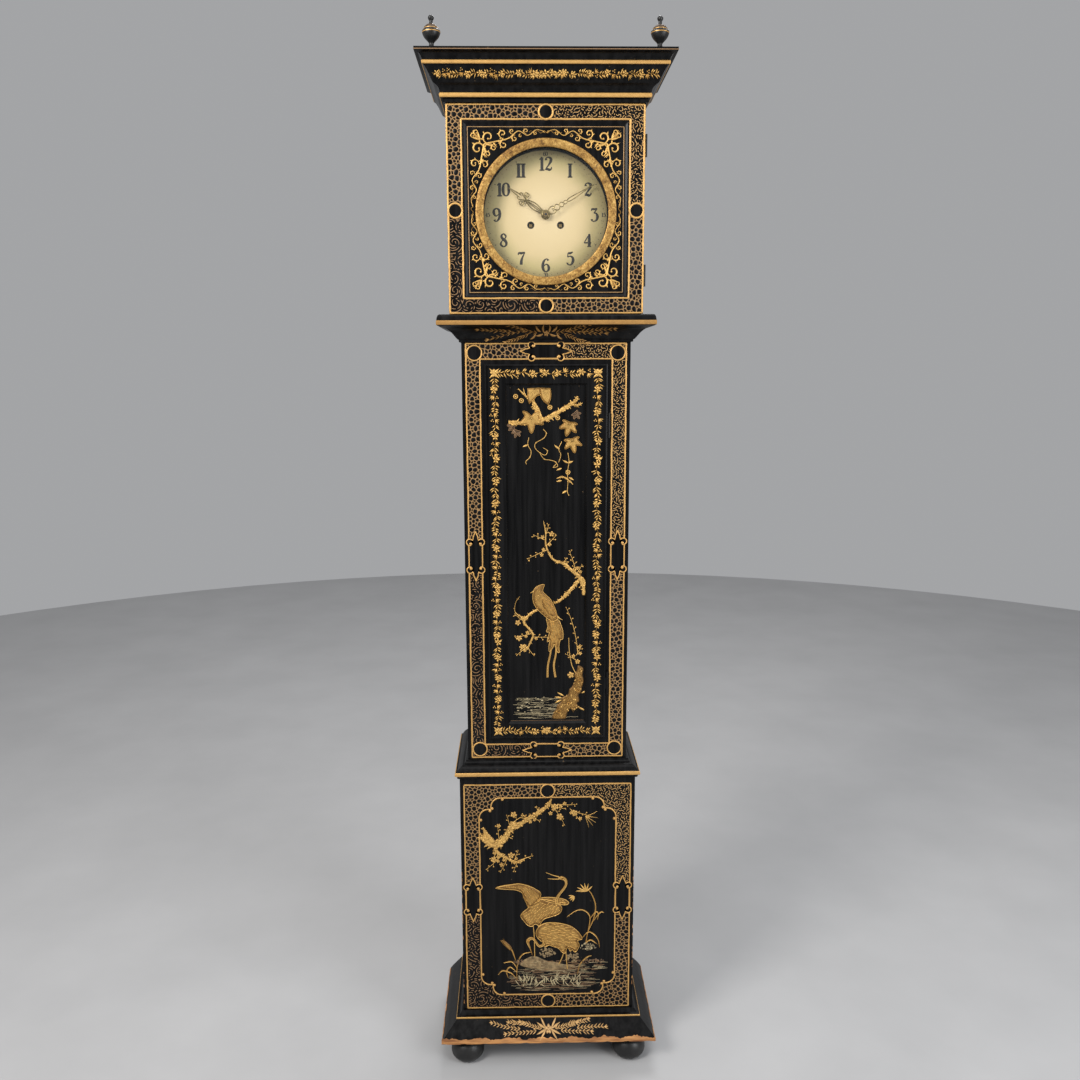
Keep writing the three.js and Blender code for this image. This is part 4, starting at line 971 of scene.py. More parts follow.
def corner_scrolls(work, sx, sz, half, edge_z):
    """One corner's acanthus, and again mirrored in the diagonal."""
    for flipped in (False, True):
        def place(u, v):
            along, inward = (v, u) if flipped else (u, v)
            return sx * (half - along), edge_z - sz * inward

        stem = spline(CORNER_STEM, 7)
        work.stroke([place(u, v) for u, v, _ in stem], stem[:, 2] * 0.8, 1.4)
        for u, v, radius, start, turn, width in CORNER_VOLUTES:
            volute(work, place, (u, v), radius * DRAW.uniform(0.94, 1.04), start, turn, width * 0.82)
        for u, v, heading, length, width in CORNER_LEAVES:
            acanthus(work, place, (u, v), swing(u, v, length, 0, heading), width)


def volute(work, place, centre, radius, start, turn, width):
    """A stroke that winds in to a ball, with three leaves on its back."""
    t = np.linspace(0, 1, 12 + int(radius * 2))
    reach = radius * (1 - 0.76 * t ** 0.9)
    path = [swing(*centre, r, 0, start + turn * s) for r, s in zip(reach, t)]
    work.stroke([place(*p) for p in path], swell(len(path), width, 0.35, 0.35), 1.5)
    work.dome(*place(*path[-1]), width * 0.62, 1.8, 9)
    for share in (0.1, 0.24, 0.38):
        spot = path[int(share * (len(path) - 1))]
        angle = start + turn * share + (38 if turn > 0 else -38)
        acanthus(work, place, spot, swing(*spot, radius * 0.52, 0, angle), width * 0.8)


def acanthus(work, place, foot, tip, width):
    """A leaf between two corner-relative points, where it clears the bezel and the border."""
    (x, z), (tx, tz) = place(*foot), place(*tip)
    clear = math.hypot(tx, tz - DIAL_Z) > 133 and min(tip) > 2.5
    if clear:
        leaf(work, x, z, math.degrees(math.atan2(tz - z, tx - x)), math.hypot(tx - x, tz - z), width, 1.5)


def build_bezel():
    outer, inner = 130.5, 115.5
    back = BEZEL_FACE + 3.7
    ring = [(inner, back), (inner, BEZEL_FACE + 1.4), (inner + 0.5, BEZEL_FACE + 0.6),
            (inner + 1.6, BEZEL_FACE), (outer - 1.8, BEZEL_FACE), (outer - 0.6, BEZEL_FACE + 0.5),
            (outer, BEZEL_FACE + 1.5), (outer, back), (inner, back)]
    turned("gilt_bezel", ring, (0, 0, DIAL_Z), BEZEL, "hood_door", 144, "Y",
           stands_for=("bezel_ring",))
    cracks = Relief(BEZEL_FACE)
    for angle in (127, 41, -42, 148, -150):
        a, b = swing(0, DIAL_Z, inner + 0.6, 0, angle), swing(0, DIAL_Z, outer - 0.6, 0, angle + 0.6)
        cracks.line(*a, *b, 0.8, 0.06, FLAT, 0.2, 3)
    cracks.build("bezel_joints", LID_BROWN, "hood_door")


def build_cornice_garland():
    face = slope(HOOD_FACE, [(1954, 20), (1956, 21.6), (1963, 25), (1971, 29), (1978.4, 34)])
    work = Relief(face)
    garland(work, -4, 1966, -202, 1966, 15, 7.6)
    garland(work, 4, 1966, 202, 1966, 15, 7.6)
    for x, z in ((0, 1966), (28, 1967), (-21, 1965)):
        daisy(work, x, z, 90, 19)
    work.build("cornice_garland", GILT, "hood")


def slope(front, rows):
    """The front of a moulding as y by height. rows are (z, how far out)."""
    heights = [z for z, _ in rows]
    out = [o for _, o in rows]
    return lambda z: front - float(np.interp(z, heights, out))


# ---------- dial ----------
# strokes of each numeral as rows of (x, z, width), drawn 24 mm tall about its centre
NUMERALS = {
    "1": [[(0.2, 11.2, 3.6), (0.2, 0, 3.7), (0.2, -11, 3.6)],
          [(-4.6, 7.2, 0.8), (-2, 9, 1.4), (0.6, 11.4, 2.4)],
          [(-4.6, -11.5, 1.0), (0, -11.2, 1.8), (4.9, -11.5, 1.0)]],
    "2": [[(-4.3, 6.0, 3.6), (-4.2, 9.2, 1.4), (-0.4, 11.5, 1.3), (4.4, 9.2, 3.2), (4.8, 5, 3.6),
           (1.2, -1.6, 2.0), (-3, -7, 1.2), (-5.6, -10.8, 1.2)],
          [(-5.6, -10.6, 1.4), (-2.4, -9.4, 2.8), (2.2, -10.8, 2.8), (5.2, -9.4, 1.6), (6.3, -5.8, 0.9)]],
    "3": [[(-5.2, 7.4, 1.0), (-4.4, 10.6, 1.8), (0, 10.2, 2.4), (5.4, 11.4, 1.2)],
          [(5.4, 11.2, 1.1), (-0.6, 3.4, 1.0)],
          [(-0.8, 3.2, 1.0), (3.4, 2.6, 1.8), (6, -2.6, 3.7), (4.6, -8.6, 2.8), (0, -11.6, 1.2),
           (-4.2, -10.2, 1.4), (-4.6, -7.8, 3.4)]],
    "4": [[(3.4, 11.4, 1.2), (-1.6, 3.6, 1.1), (-6.4, -4.4, 1.1)], [(-6.6, -4.8, 1.2), (7, -4.8, 1.4)],
          [(3, 11.2, 2.4), (3, 2, 3.6), (3, -11, 3.6)], [(-0.8, -11.6, 1.0), (6.8, -11.6, 1.0)]],
    "5": [[(-3.4, 10.2, 1.4), (0.4, 9.8, 2.8), (5.4, 11.8, 1.2)], [(-3.4, 10.4, 1.0), (-4.4, 2.6, 1.0)],
          [(-4.4, 2.4, 1.0), (0, 4.4, 1.4), (4.8, 2, 2.8), (6, -3.8, 3.7), (3.6, -9.6, 2.4),
           (-0.6, -11.6, 1.2), (-4.4, -9.8, 1.4), (-4.5, -7.6, 3.2)]],
    "6": [[(4.6, 8.4, 3.2), (3.4, 11, 1.4), (0.2, 11.2, 1.2), (-4, 6.6, 2.8), (-5.6, -1.6, 3.8),
           (-4, -8.8, 3.0), (0.4, -11.6, 1.2), (4.8, -9, 2.6), (5.8, -4.4, 3.5), (3.8, 0.4, 2.2),
           (0.4, 1.8, 1.1), (-4.6, -2.4, 1.0)]],
    "7": [[(-6.2, 6.6, 1.0), (-5.2, 10.4, 1.8), (-1, 9.8, 3.0), (3, 10.6, 2.2), (6.6, 11.6, 1.2)],
          [(6.4, 11.2, 1.0), (2.4, 3.6, 1.8), (-0.2, -3.6, 3.4), (-0.8, -11.2, 3.8)]],
    "8": [[(3.4, 9, 2.2), (0.2, 11.6, 1.2), (-3.8, 8.6, 2.6), (-2.8, 4, 3.4), (2.6, -0.6, 3.8),
           (5.2, -5.6, 3.2), (3.6, -10, 2.0), (-0.2, -11.6, 1.2), (-4.6, -8.8, 2.6), (-5.2, -5, 2.0),
           (-2.4, -0.8, 1.0), (2.6, 3.4, 1.1), (4.4, 6.8, 1.6), (3.4, 9, 2.2)]],
    "0": [[(0, 11.5, 1.1), (-4.2, 8.2, 2.6), (-5.4, 0, 3.8), (-4.2, -8.2, 2.6), (0, -11.5, 1.1),
           (4.2, -8.2, 2.6), (5.4, 0, 3.8), (4.2, 8.2, 2.6), (0, 11.5, 1.1)]],
    "I": [[(0, 11, 3.8), (0, -11, 3.8)], [(-4.4, 11.5, 1.2), (4.4, 11.5, 1.2)],
          [(-4.4, -11.5, 1.2), (4.4, -11.5, 1.2)]],
}
NUMERALS["9"] = [[(-x, -z, w) for x, z, w in stroke] for stroke in NUMERALS["6"]]
HOURS = ("12", "I", "2", "3", "4", "5", "6", "7", "8", "9", "10", "II")
QUARTERS = {0: "60", 15: "15", 30: "30", 45: "45"}
ADVANCE = {"1": 10.5, "I": 8.6}
HOUR_RING = 91.5
MINUTE_RING = 109
NUMERAL_TALL = 24


def write(work, text, x, z, size):
    """A word of numerals about (x, z), size millimetres tall."""
    scale = size / NUMERAL_TALL
    widths = [ADVANCE.get(letter, 13.6) * scale for letter in text]
    left = x - sum(widths) / 2
    for letter, width in zip(text, widths):
        for stroke in NUMERALS[letter]:
            path = spline(stroke, 5)
            thick = (path[:, 2] * 1.3 + 0.75) * scale
            work.stroke(path[:, :2] * scale + (left + width / 2, z), thick, 0.16, FLAT)
        left += width


def build_dial():
    ink = Relief(DIAL_FACE)
    for hour, text in enumerate(HOURS):
        angle = math.radians(30 * hour)
        write(ink, text, HOUR_RING * math.sin(angle), DIAL_Z + HOUR_RING * math.cos(angle), NUMERAL_TALL)
    for minute in range(60):
        angle = math.radians(6 * minute)
        x, z = MINUTE_RING * math.sin(angle), DIAL_Z + MINUTE_RING * math.cos(angle)
        if minute in QUARTERS:
            write(ink, QUARTERS[minute], x, z, 7.4)
        else:
            ink.dome(x, z, 0.75 if minute % 5 else 1.2, 0.12, 6)
    ink.build("dial_numerals", INK, "case", "dial_paint")
    # A black ring over the dial's rim: partly the hood's black mask, partly painted shade for the shadow
    # inside the bezel's rebate.
    mask = [(115.2, -0.05), (115.6, -1.2), (116.4, -1.5), (126.6, -1.5), (126.8, 0.4)]
    turned("dial_surround", mask, (0, DIAL_FACE, DIAL_Z), BLACK, "case", 96, "Y")
    # Black sleeves lining the winding holes: painted shade for the darkness down the holes.
    sleeve = [(5.3, 0.4), (5.2, 14.0), (2.9, 14.2)]
    for tag, x in (("going", WINDING_X), ("strike", -WINDING_X)):
        turned(f"{tag}_winding_sleeve", sleeve, (x, DIAL_FACE, WINDING_Z), PEBBLE_BLACK, "case",
               32, "Y")
    rims = Relief(DIAL_FACE)
    for x in (-WINDING_X, WINDING_X):
        rims.ring(x, WINDING_Z, 6.1, 1.3, 0.45, 24)
    rims.build("winding_hole_rims", INK, "case", "brass")


def wire(points, radius, path, y, flat=0.55):
    """Adds a flattened wire along path at depth y. radius is one number or one for each point."""
    path = np.asarray(path, float)[:, :2]
    radius = np.broadcast_to(np.asarray(radius, float), (len(path),))
    along = np.gradient(path, axis=0)
    along /= np.maximum(np.hypot(*along.T), 1e-6)[:, None]
    verts, faces = points
    first = len(verts)
    sides = 8
    for p, d, r in zip(path, along, radius):
        for a in np.linspace(0, TAU, sides, endpoint=False):
            off = r * math.cos(a)
            verts.append((p[0] - d[1] * off, y + flat * r * math.sin(a), p[1] + d[0] * off))
    for k in range(len(path) - 1):
        for i in range(sides):
            j = (i + 1) % sides
            faces.append((first + k * sides + i, first + k * sides + j, first + (k + 1) * sides + j,
                          first + (k + 1) * sides + i))
    faces += [tuple(first + i for i in range(sides))[::-1],
              tuple(first + (len(path) - 1) * sides + i for i in range(sides))]


# each hand pointing up: wires on its right-hand side as (rows of (x, z, radius)), mirrored to the left
HOUR_WIRES = (
    [(0.8, 5, 1.3), (3.4, 12, 0.95), (5.4, 22, 0.8), (5.6, 31, 0.8), (3.2, 40, 0.9), (1.2, 45, 1.0)],
    [(1.0, 8, 1.0), (1.6, 20, 0.7), (0.9, 34, 0.7), (0.4, 44, 0.9)],
    [(1.0, 44, 1.1), (4.6, 46.5, 1.0), (9.6, 44.6, 0.9), (12.4, 48.6, 0.9), (10.2, 53.2, 0.9),
     (6.2, 51.6, 0.9), (6.8, 48.0, 0.8), (9, 48.8, 0.9)],
    [(0.6, 45, 1.1), (3.8, 53, 0.9), (6.4, 57.5, 0.8), (4.6, 61.4, 0.8), (1.8, 58.8, 0.8), (2.6, 62, 0.8),
     (1.8, 70, 0.8), (0.3, 84, 0.4)],
)
MINUTE_WIRES = (
    [(0.8, 5, 1.2), (5.2, 10, 0.9), (6.8, 16, 0.8), (4.2, 20.6, 0.8), (1.2, 18, 0.8), (2.2, 14.6, 0.8)],
    [(1.2, 19, 1.0), (4.8, 23, 0.8), (4.9, 27, 0.8), (1.0, 30.4, 0.9)],
    [(1.0, 30, 0.9), (3.9, 33, 0.7), (3.9, 36, 0.7), (0.9, 39, 0.9)],
    [(0.9, 39, 0.9), (2.9, 41.6, 0.7), (2.7, 44, 0.7), (1.2, 47, 0.9), (2.7, 52, 0.8), (2.4, 66, 0.75),
     (1.1, 84, 0.7), (0.3, 105, 0.35)],
)


def build_hand(name, wires, angle, y, hub, node, body):
    points = ([], [])
    for row in wires:
        path = spline(row, 6)
        for side in (-1, 1):
            wire(points, path[:, 2], path[:, :2] * (side, 1), y)
    for radius, thick in ((hub, 1.3), (hub * 0.62, 0.9)):
        around = circle(0, 0, radius, 29)
        wire(points, thick, np.vstack([around, around[:1]]), y, 0.7)
    c, s = math.cos(math.radians(angle)), math.sin(math.radians(angle))
    placed = [(x * c + z * s, depth, DIAL_Z - x * s + z * c) for x, depth, z in points[0]]
    piece(name, placed, points[1], HAND_BRASS, body, 60, (node,))


def build_hands():
    hour_low, hour_high = corner_mm("hour_hand")
    minute_low, minute_high = corner_mm("minute_hand")
    minute_angle = 59.5
    hour_angle = 300 + minute_angle / 12
    build_hand("hour_pointer", HOUR_WIRES, hour_angle, (hour_low[1] + hour_high[1]) / 2, 7.6, "hour_hand",
               "hour_pipe")
    build_hand("minute_pointer", MINUTE_WIRES, minute_angle, (minute_low[1] + minute_high[1]) / 2, 5.6,
               "minute_hand", "centre_arbor")
    cap = [(0, -1.6), (1.6, -1.4), (2.6, -0.6), (2.8, 0.6), (4.6, 0.8), (4.8, 2), (0, 2)]
    turned("hand_cap", cap, (0, minute_low[1] - 1.2, DIAL_Z), INK, "centre_arbor", 24, "Y")


# ---------- trunk ----------
TRUNK_OUTER = (153.6, 664.5, 1497.0)
TRUNK_INNER = (127.2, 692.0, 1468.0)
TRUNK_MIDDLE = 1084.5


def build_trunk_banding():
    band = Banding("trunk", TRUNK_FACE, "case", TRUNK_OUTER, TRUNK_INNER)
    band.fill()
    lines, plates = Relief(TRUNK_FACE), Relief(TRUNK_FACE)
    band.lines(lines, 3.4)
    for x in (-137.5, 137.5):
        for z in (682, 1479.5):
            roundel(plates, lines, x, z)
        cartouche(plates, lines, x * 140.4 / 137.5, TRUNK_MIDDLE, 90, 13.2)
    for z in ((TRUNK_OUTER[1] + TRUNK_INNER[1]) / 2, (TRUNK_OUTER[2] + TRUNK_INNER[2]) / 2):
        cartouche(plates, lines, 0, z, 0, 13.6)
    plates.build("trunk_plates", PEBBLE_BLACK, "case", "black_lacquer")
    lines.build("trunk_gilt_lines", GILT_LINE, "case")


def build_door_garland():
    work = Relief(DOOR_FIELD)
    half, low, high = 99.5, DOOR_LOW + 16.5, DOOR_HIGH - 17
    garland(work, -half + 8, high, half - 8, high, 19)
    garland(work, -half, high - 10, -half, low + 10, 19)
    garland(work, half, high - 10, half, low + 10, 19)
    garland(work, -half + 10, low, half - 10, low, 18)
    for x in (-half, half):
        for z in (low, high):
            blossom(work, x, z, 8.6, turn=20)
            for heading in (25, 115, 205, 295):
                leaf(work, x, z, heading + 20, 13, 4.2)
    blossom(work, -2, low, 8.4)
    work.build("door_garland", GILT, "trunk_door")
    sill = DOOR_LOW + 37.2
    worn_edge = Relief(DOOR_PANEL)
    worn_edge.line(-74, sill, 74, sill, 0.9, 0.3, RIDGE, wander=0.1)
    worn_edge.build("panel_worn_edge", GILT_DIM, "trunk_door")


def lobed(x, z, size, turn, lobes):
    """A pointed, lobed leaf outline. lobes are (angle, reach) rows with hollows between them."""
    rows = []
    for i, (angle, reach) in enumerate(lobes):
        for off, share in ((-17, 0.66), (-6, 0.92), (0, 1.0), (6, 0.92), (17, 0.66)):
            rows.append(swing(x, z, size * reach * share, 0, turn + angle + off))
        if i + 1 < len(lobes):
            rows.append(swing(x, z, size * 0.48, 0, turn + (angle + lobes[i + 1][0]) / 2))
    rows.append(swing(x, z, size * 0.14, 0, turn + 180))
    return np.array(rows)


IVY = ((-104, 0.62), (-52, 0.86), (0, 1.0), (52, 0.86), (104, 0.62))


def ivy(work, x, z, size, turn, lobes=IVY, height=2.6):
    """A veined, lobed leaf, with a bright rim, a vein to each lobe and shorter ones between."""
    outline = lobed(x, z, size, turn, lobes)
    work.body(outline, height, 2.6, 1.7, 0.74)
    work.stroke(outline, 1.3, height * 0.8, closed=True)
    for angle, reach in lobes:
        for off, share, wide in ((0, 0.9, 1.6), (-16, 0.6, 0.8), (16, 0.6, 0.8)):
            spots = [swing(x, z, size * reach * t, 0, turn + angle + off) for t in (0.06, share * 0.5, share)]
            work.stroke(spots, [wide * 1.2, wide, 0.5], height + 0.3, crest=0.08)


def prunus(work, x, z, heading, length, count, flowers=1):
    """A twig with short spurs, buds and a few blossoms."""
    ease = min(1.0, 22 / length)
    path = clothoid(x, z, heading, length, DRAW.uniform(-1, 1) * ease, DRAW.uniform(-1.5, 1.5) * ease)
    work.stroke(path, np.linspace(1.9, 0.7, len(path)), RAISED * 0.8)
    for i in range(count):
        at = path[int((i + 0.7) * (len(path) - 1) / (count + 0.2))]
        side = 1 if i % 2 else -1
        angle = heading + side * DRAW.uniform(38, 68)
        end = swing(*at, DRAW.uniform(3.5, 6.5), 0, angle)
        work.stroke([at, end], [1.2, 0.7], RAISED * 0.7)
        if i < flowers:
            blossom(work, *end, DRAW.uniform(3.6, 4.6), 1.5)
        else:
            bud(work, *end, DRAW.uniform(1.2, 2.0))
    bud(work, *path[-1], 1.3)


def bark(x, z):
    """Carving for bark: short broken grooves."""
    return 0.22 * (math.sin(x * 1.7 + math.sin(z * 0.9) * 2) * math.sin(z * 1.3 + x * 0.4) > 0.15)


# each leaf's outline, and the point at the panel's top edge that its veins start from
HANGING_LEAVES = (
    (((-36, 1395), (-36, 1412), (-12, 1413), (-11, 1400), (-18, 1398), (-24, 1392), (-33, 1383)),
     (-22, 1413)),
    (((-11, 1399), (-12, 1413), (8, 1412), (9, 1402), (8, 1391), (4, 1381), (-4, 1387), (-8, 1392)),
     (-1, 1413)),
)


def hanging_leaf(work, outline, root):
    """A rimmed leaf that hangs from the top edge, with a vein to each point along its lower side."""
    work.body(outline, 2.6, 3.2, 1.8, 0.78)
    work.stroke(outline, 1.6, 2.6, closed=True)
    for x, z in outline:
        if z < 1404:
            middle = ((root[0] + x) / 2, (root[1] + z) / 2)
            work.stroke([root, middle, (x, z + 2)], [1.5, 1.9, 0.6], 2.9, crest=0.06)


def build_door_top_scene():
    work = Relief(DOOR_PANEL)
    branch(work, [(-73, 1348, 8), (-60, 1347, 9), (-42, 1346, 8), (-16, 1350, 8.6), (2, 1355, 9),
                  (22, 1366, 9), (42, 1378, 8), (56, 1388, 6.4), (61, 1397, 4)], RAISED * 1.2, 0.25)
    branch(work, [(-8, 1352, 8), (-15, 1366, 9), (-22, 1380, 8), (-27, 1392, 6)], RAISED * 1.2, 0.25)
    branch(work, [(50, 1383, 4), (60, 1380, 4.6), (70, 1384, 2)], RAISED, 0.2)
    branch(work, [(-30, 1390, 4), (-42, 1400, 3.6), (-54, 1412, 1.6)], RAISED, 0.2)
    branch(work, [(-44, 1413, 1.4), (-42, 1402, 2.4)], RAISED)
    for outline, root in HANGING_LEAVES:
        hanging_leaf(work, np.array(outline), root)
    ivy(work, -29, 1356, 29, 270, ((-128, 0.72), (-62, 0.92), (0, 1.04), (62, 0.92), (128, 0.72)))
    ivy(work, 45, 1344, 25, 255)
    ivy(work, 50, 1312, 25, 282)
    for x, z in ((-59, 1397), (-48, 1389), (22, 1356), (42, 1250), (7, 1376)):
        berry(work, x, z, 4.8)
    hang_tendrils(work)
    work.build("door_vine", GILT, "trunk_door")
    pale = Relief(DOOR_PANEL)
    for x, z, turn in ((-57, 1330, 250), (56, 1364, 310), (-64, 1338, 160)):
        ivy(pale, x, z, 13, turn, height=1.4)
    pale.build("door_vine_pale", GILT_DIM, "trunk_door")


def hang_tendrils(work):
    for row in ([(-34, 1318), (-36, 1304), (-30, 1292), (-32, 1280), (-40, 1272), (-39, 1266)],
                [(-6, 1334), (0, 1326), (-6, 1316), (-20, 1308), (-22, 1298), (-12, 1288), (-2, 1284),
                 (2, 1292), (-6, 1298)],
                [(-12, 1286), (-4, 1276), (8, 1274), (18, 1270), (22, 1262), (14, 1260), (20, 1268)],
                [(30, 1310), (24, 1296), (28, 1284), (24, 1270)],
                [(42, 1288), (44, 1270), (41, 1250), (42, 1232), (41, 1212), (44, 1204)]):
        work.stroke(spline(row, 7), 1.5, RAISED * 0.8)
        for at in row[1:-1:2]:
            bud(work, at[0], at[1], 1.7)
    for x, z, heading in ((42, 1268, 150), (42, 1268, 20), (30, 1258, 200), (44, 1240, 330), (30, 1234, 190),
                          (40, 1214, 210), (24, 1296, 140), (-36, 1304, 200)):
        leaf(work, x, z, heading, 11, 4.6)
    branch(work, [(20, 1238, 1.6), (32, 1241, 4), (44, 1234, 3.4), (52, 1226, 1.6)], RAISED, 0.1)


def plumage(work, outline, height, heading, length=9.0, spacing=5.0, fan=0.0):
    """A bird's body: a crowned shape with a bright rim and combed feather strokes that fan out."""
    work.body(outline, height, 6, 1.9, 0.6)
    work.stroke(outline, 1.9, height * 0.8, closed=True)
    low, high = outline.min(0), outline.max(0)
    middle = (low + high) / 2

    def clear(x, z):
        spot = np.array([[x, z]])
        return inside(spot, outline)[0] and edge_distance(spot, outline)[0] > 1.3

    seeds = scatter(clear, (spacing / 2,), (int(10 * (high - low).prod() / spacing ** 2),),
                    (*low, *high), 1.0)
    for x, z, _ in seeds:
        turn = heading + fan * (z - middle[1]) + DRAW.uniform(-8, 8)
        path = clothoid(x, z, turn, length * DRAW.uniform(0.6, 1.1), 3, -4, 1.5)
        count = next((i for i, p in enumerate(path) if not clear(*p)), len(path))
        if count > 2:
            work.stroke(path[:count], swell(count, 2.1, 0.3, 0.3), height + 0.9)


def build_door_bird():
    work = Relief(DOOR_PANEL)
    tail = loop_spline([(0, 960), (2, 940), (-1, 929), (5, 928), (2, 917), (1, 908), (6, 911), (4, 898),
                        (5, 887), (12, 896), (15, 903), (20, 888), (25, 886), (24, 899), (27, 912),
                        (32, 914), (32, 930), (28, 943), (22, 954)], 3)
    plumage(work, tail, 1.7, 272, 14)
    for path in ([(10, 912), (7, 884), (2, 859), (1, 834)], [(19, 912), (18, 884), (14, 859), (17, 834)]):
        row = spline(path, 7)
        work.stroke(row, np.linspace(3.6, 5.2, len(row)), 2.0, VEINED)
    crook = spline([(20, 962), (26, 956), (32, 953)], 5)
    work.stroke(crook, (2, 3, 4, 4, 3.6, 3, 2, 1.6, 1.2, 1, 0.8), 2.2)
    body = loop_spline([(-5, 1026), (-13, 1025), (-21, 1021), (-26, 1014), (-28, 1000), (-26, 988),
                        (-19, 976), (-10, 967), (1, 957), (11, 950), (21, 956), (19, 968), (14, 983),
                        (7, 996), (-2, 1005), (-8, 1012), (-7, 1019)], 3)
    plumage(work, body, 2.6, 305, 6)
    wing = loop_spline([(-8, 1001), (2, 994), (12, 980), (18, 963), (11, 960), (0, 968), (-9, 980),
                        (-12, 992)], 3)
    plumage(work, wing, 3.6, 302, 14)
    work.dome(-19, 1014, 1.5, 4.2, 8, rim=2.6)
    work.stroke([(-25, 1014), (-29, 1011), (-33, 1009)], [3.0, 1.8, 0.6], 2.2)
    work.build("door_bird", GILT, "trunk_door")


# where each twig starts, its heading and length, and its buds and blossoms
DOOR_TWIGS = ((-4, 1116, 150, 24, 4, 1), (-2, 1104, 40, 30, 4, 1), (0, 1096, 205, 42, 6, 2),
              (-2, 1126, 70, 22, 4, 0), (58, 1050, 100, 46, 7, 1), (60, 1048, 60, 20, 3, 1),
              (40, 1064, 100, 16, 3, 0), (-44, 950, 150, 26, 4, 1), (-30, 926, 195, 34, 5, 2),
              (-28, 918, 0, 32, 5, 1), (-36, 900, 215, 32, 5, 2), (-38, 896, 300, 20, 2, 0),
              (62, 886, 95, 96, 9, 1), (58, 870, 150, 24, 3, 1), (60, 880, 60, 22, 4, 1),
              (66, 1030, 300, 30, 3, 0))


def build_door_branches():
    work = Relief(DOOR_PANEL)
    branch(work, [(74, 1004, 7), (73, 1026, 9), (66, 1040, 9), (50, 1054, 7), (34, 1068, 6.5), (14, 1076, 5),
                  (4, 1090, 4), (-2, 1108, 3.4), (-2, 1130, 2.6), (-6, 1154, 1.2)], RAISED * 1.3, 0.22)
    branch(work, [(66, 1036, 7), (52, 1020, 7.5), (38, 1004, 7), (24, 992, 5), (14, 988, 3)],
           RAISED * 1.2, 0.22)
    branch(work, [(-8, 980, 4), (-24, 972, 5), (-38, 962, 5.5), (-46, 948, 5), (-36, 936, 5), (-28, 922, 4.6),
                  (-34, 906, 4), (-40, 892, 2)], RAISED, 0.2)
    branch(work, [(-40, 958, 3), (-54, 962, 2.4), (-64, 972, 1.4), (-62, 990, 0.9), (-54, 1002, 0.8)],
           RAISED, 0.1)
    for x, z, heading, length, count, flowers in DOOR_TWIGS:
        prunus(work, x, z, heading, length, count, flowers)
    for x, z, r in ((-58, 948, 6.2), (-56, 916, 6.6), (-50, 898, 6.2), (48, 838, 7.4), (62, 866, 5.6),
                    (10, 1128, 6)):
        blossom(work, x, z, r, 1.7)
    branch(work, [(44, 916, 1.4), (45, 890, 1.6), (50, 860, 1.8), (58, 842, 2)], RAISED * 0.8)
    trunk = loop_spline([(11, 746), (14, 760), (19, 768), (20, 774), (29, 783), (30, 790), (42, 797),
                         (45, 808), (50, 813), (57, 828), (55, 838), (60, 846), (63, 858), (74, 852),
                         (72, 838), (75, 826), (71, 812), (69, 800), (64, 796), (66, 782), (61, 778),
                         (66, 768), (56, 766), (54, 758), (47, 766), (40, 754), (37, 745)], 3)
    work.body(trunk, 2.6, 4, 1.7, 0.55, bark)
    for _ in range(90):
        x, z = DRAW.uniform(12, 74), DRAW.uniform(748, 856)
        if inside(np.array([[x, z]]), trunk)[0]:
            work.dome(x, z, DRAW.uniform(1.6, 3.2), DRAW.uniform(3.0, 3.8), 7, 1.6, DRAW.uniform(0.4, 0.8),
                      DRAW.uniform(30, 80))
    for x, z in ((24, 762), (44, 778), (62, 806), (66, 830)):
        work.ring(x, z, 3.4, 1.4, 4.0, 12)
    for x, z, heading in ((30, 790, 172), (34, 794, 150), (30, 786, 205), (64, 770, 330), (70, 800, 20)):
        leaf(work, x, z, heading, 15, 4.4)
    work.build("door_tree", GILT, "trunk_door")


def build_door_water():
    pale = Relief(DOOR_PANEL)
    for _ in range(130):
        z = DRAW.uniform(746, 790)
        x = DRAW.uniform(-70, 30)
        length = DRAW.uniform(6, 30) * (1.2 if z < 765 else 0.7)
        row = [(x + length * t, z + DRAW.uniform(-0.5, 0.5)) for t in np.linspace(0, 1, 6)]
        pale.stroke([p for p in row if p[0] < 72], DRAW.uniform(0.5, 1.2), 0.25, RIDGE)
    for _ in range(22):
        pale.dome(DRAW.uniform(-68, 10), DRAW.uniform(760, 792), DRAW.uniform(1.5, 3.4), 0.8, 8, squash=0.45)
    pale.build("door_water", SILVER, "trunk_door")


# ---------- base ----------
BASE_OUTER = (171.0, 107.6, 611.4)
BASE_INNER = (141.0, 137.4, 583.0)
CUSP = 19.0
STEP = 24.5


def cusp_corner(x, z, sx, sz):
    """The inner line's stepped corner, two quarter rounds with a point between, from upright to level."""
    quarter = [(CUSP * (1 - math.cos(a)), CUSP + STEP - CUSP * math.sin(a))
               for a in np.radians(range(0, 91, 10))]
    rows = quarter + [(STEP, STEP)] + [(v, u) for u, v in reversed(quarter)]
    return [(x - sx * u, z - sz * v) for u, v in rows]


def base_light():
    """The outline of the black field inside the base's mosaic, anticlockwise from the right upright."""
    half, low, high = BASE_INNER
    top_right = cusp_corner(half, high, 1, 1)
    top_left = cusp_corner(-half, high, -1, 1)[::-1]
    low_left = cusp_corner(-half, low, -1, -1)
    low_right = cusp_corner(half, low, 1, -1)[::-1]
    return [top_right, top_left, low_left, low_right]


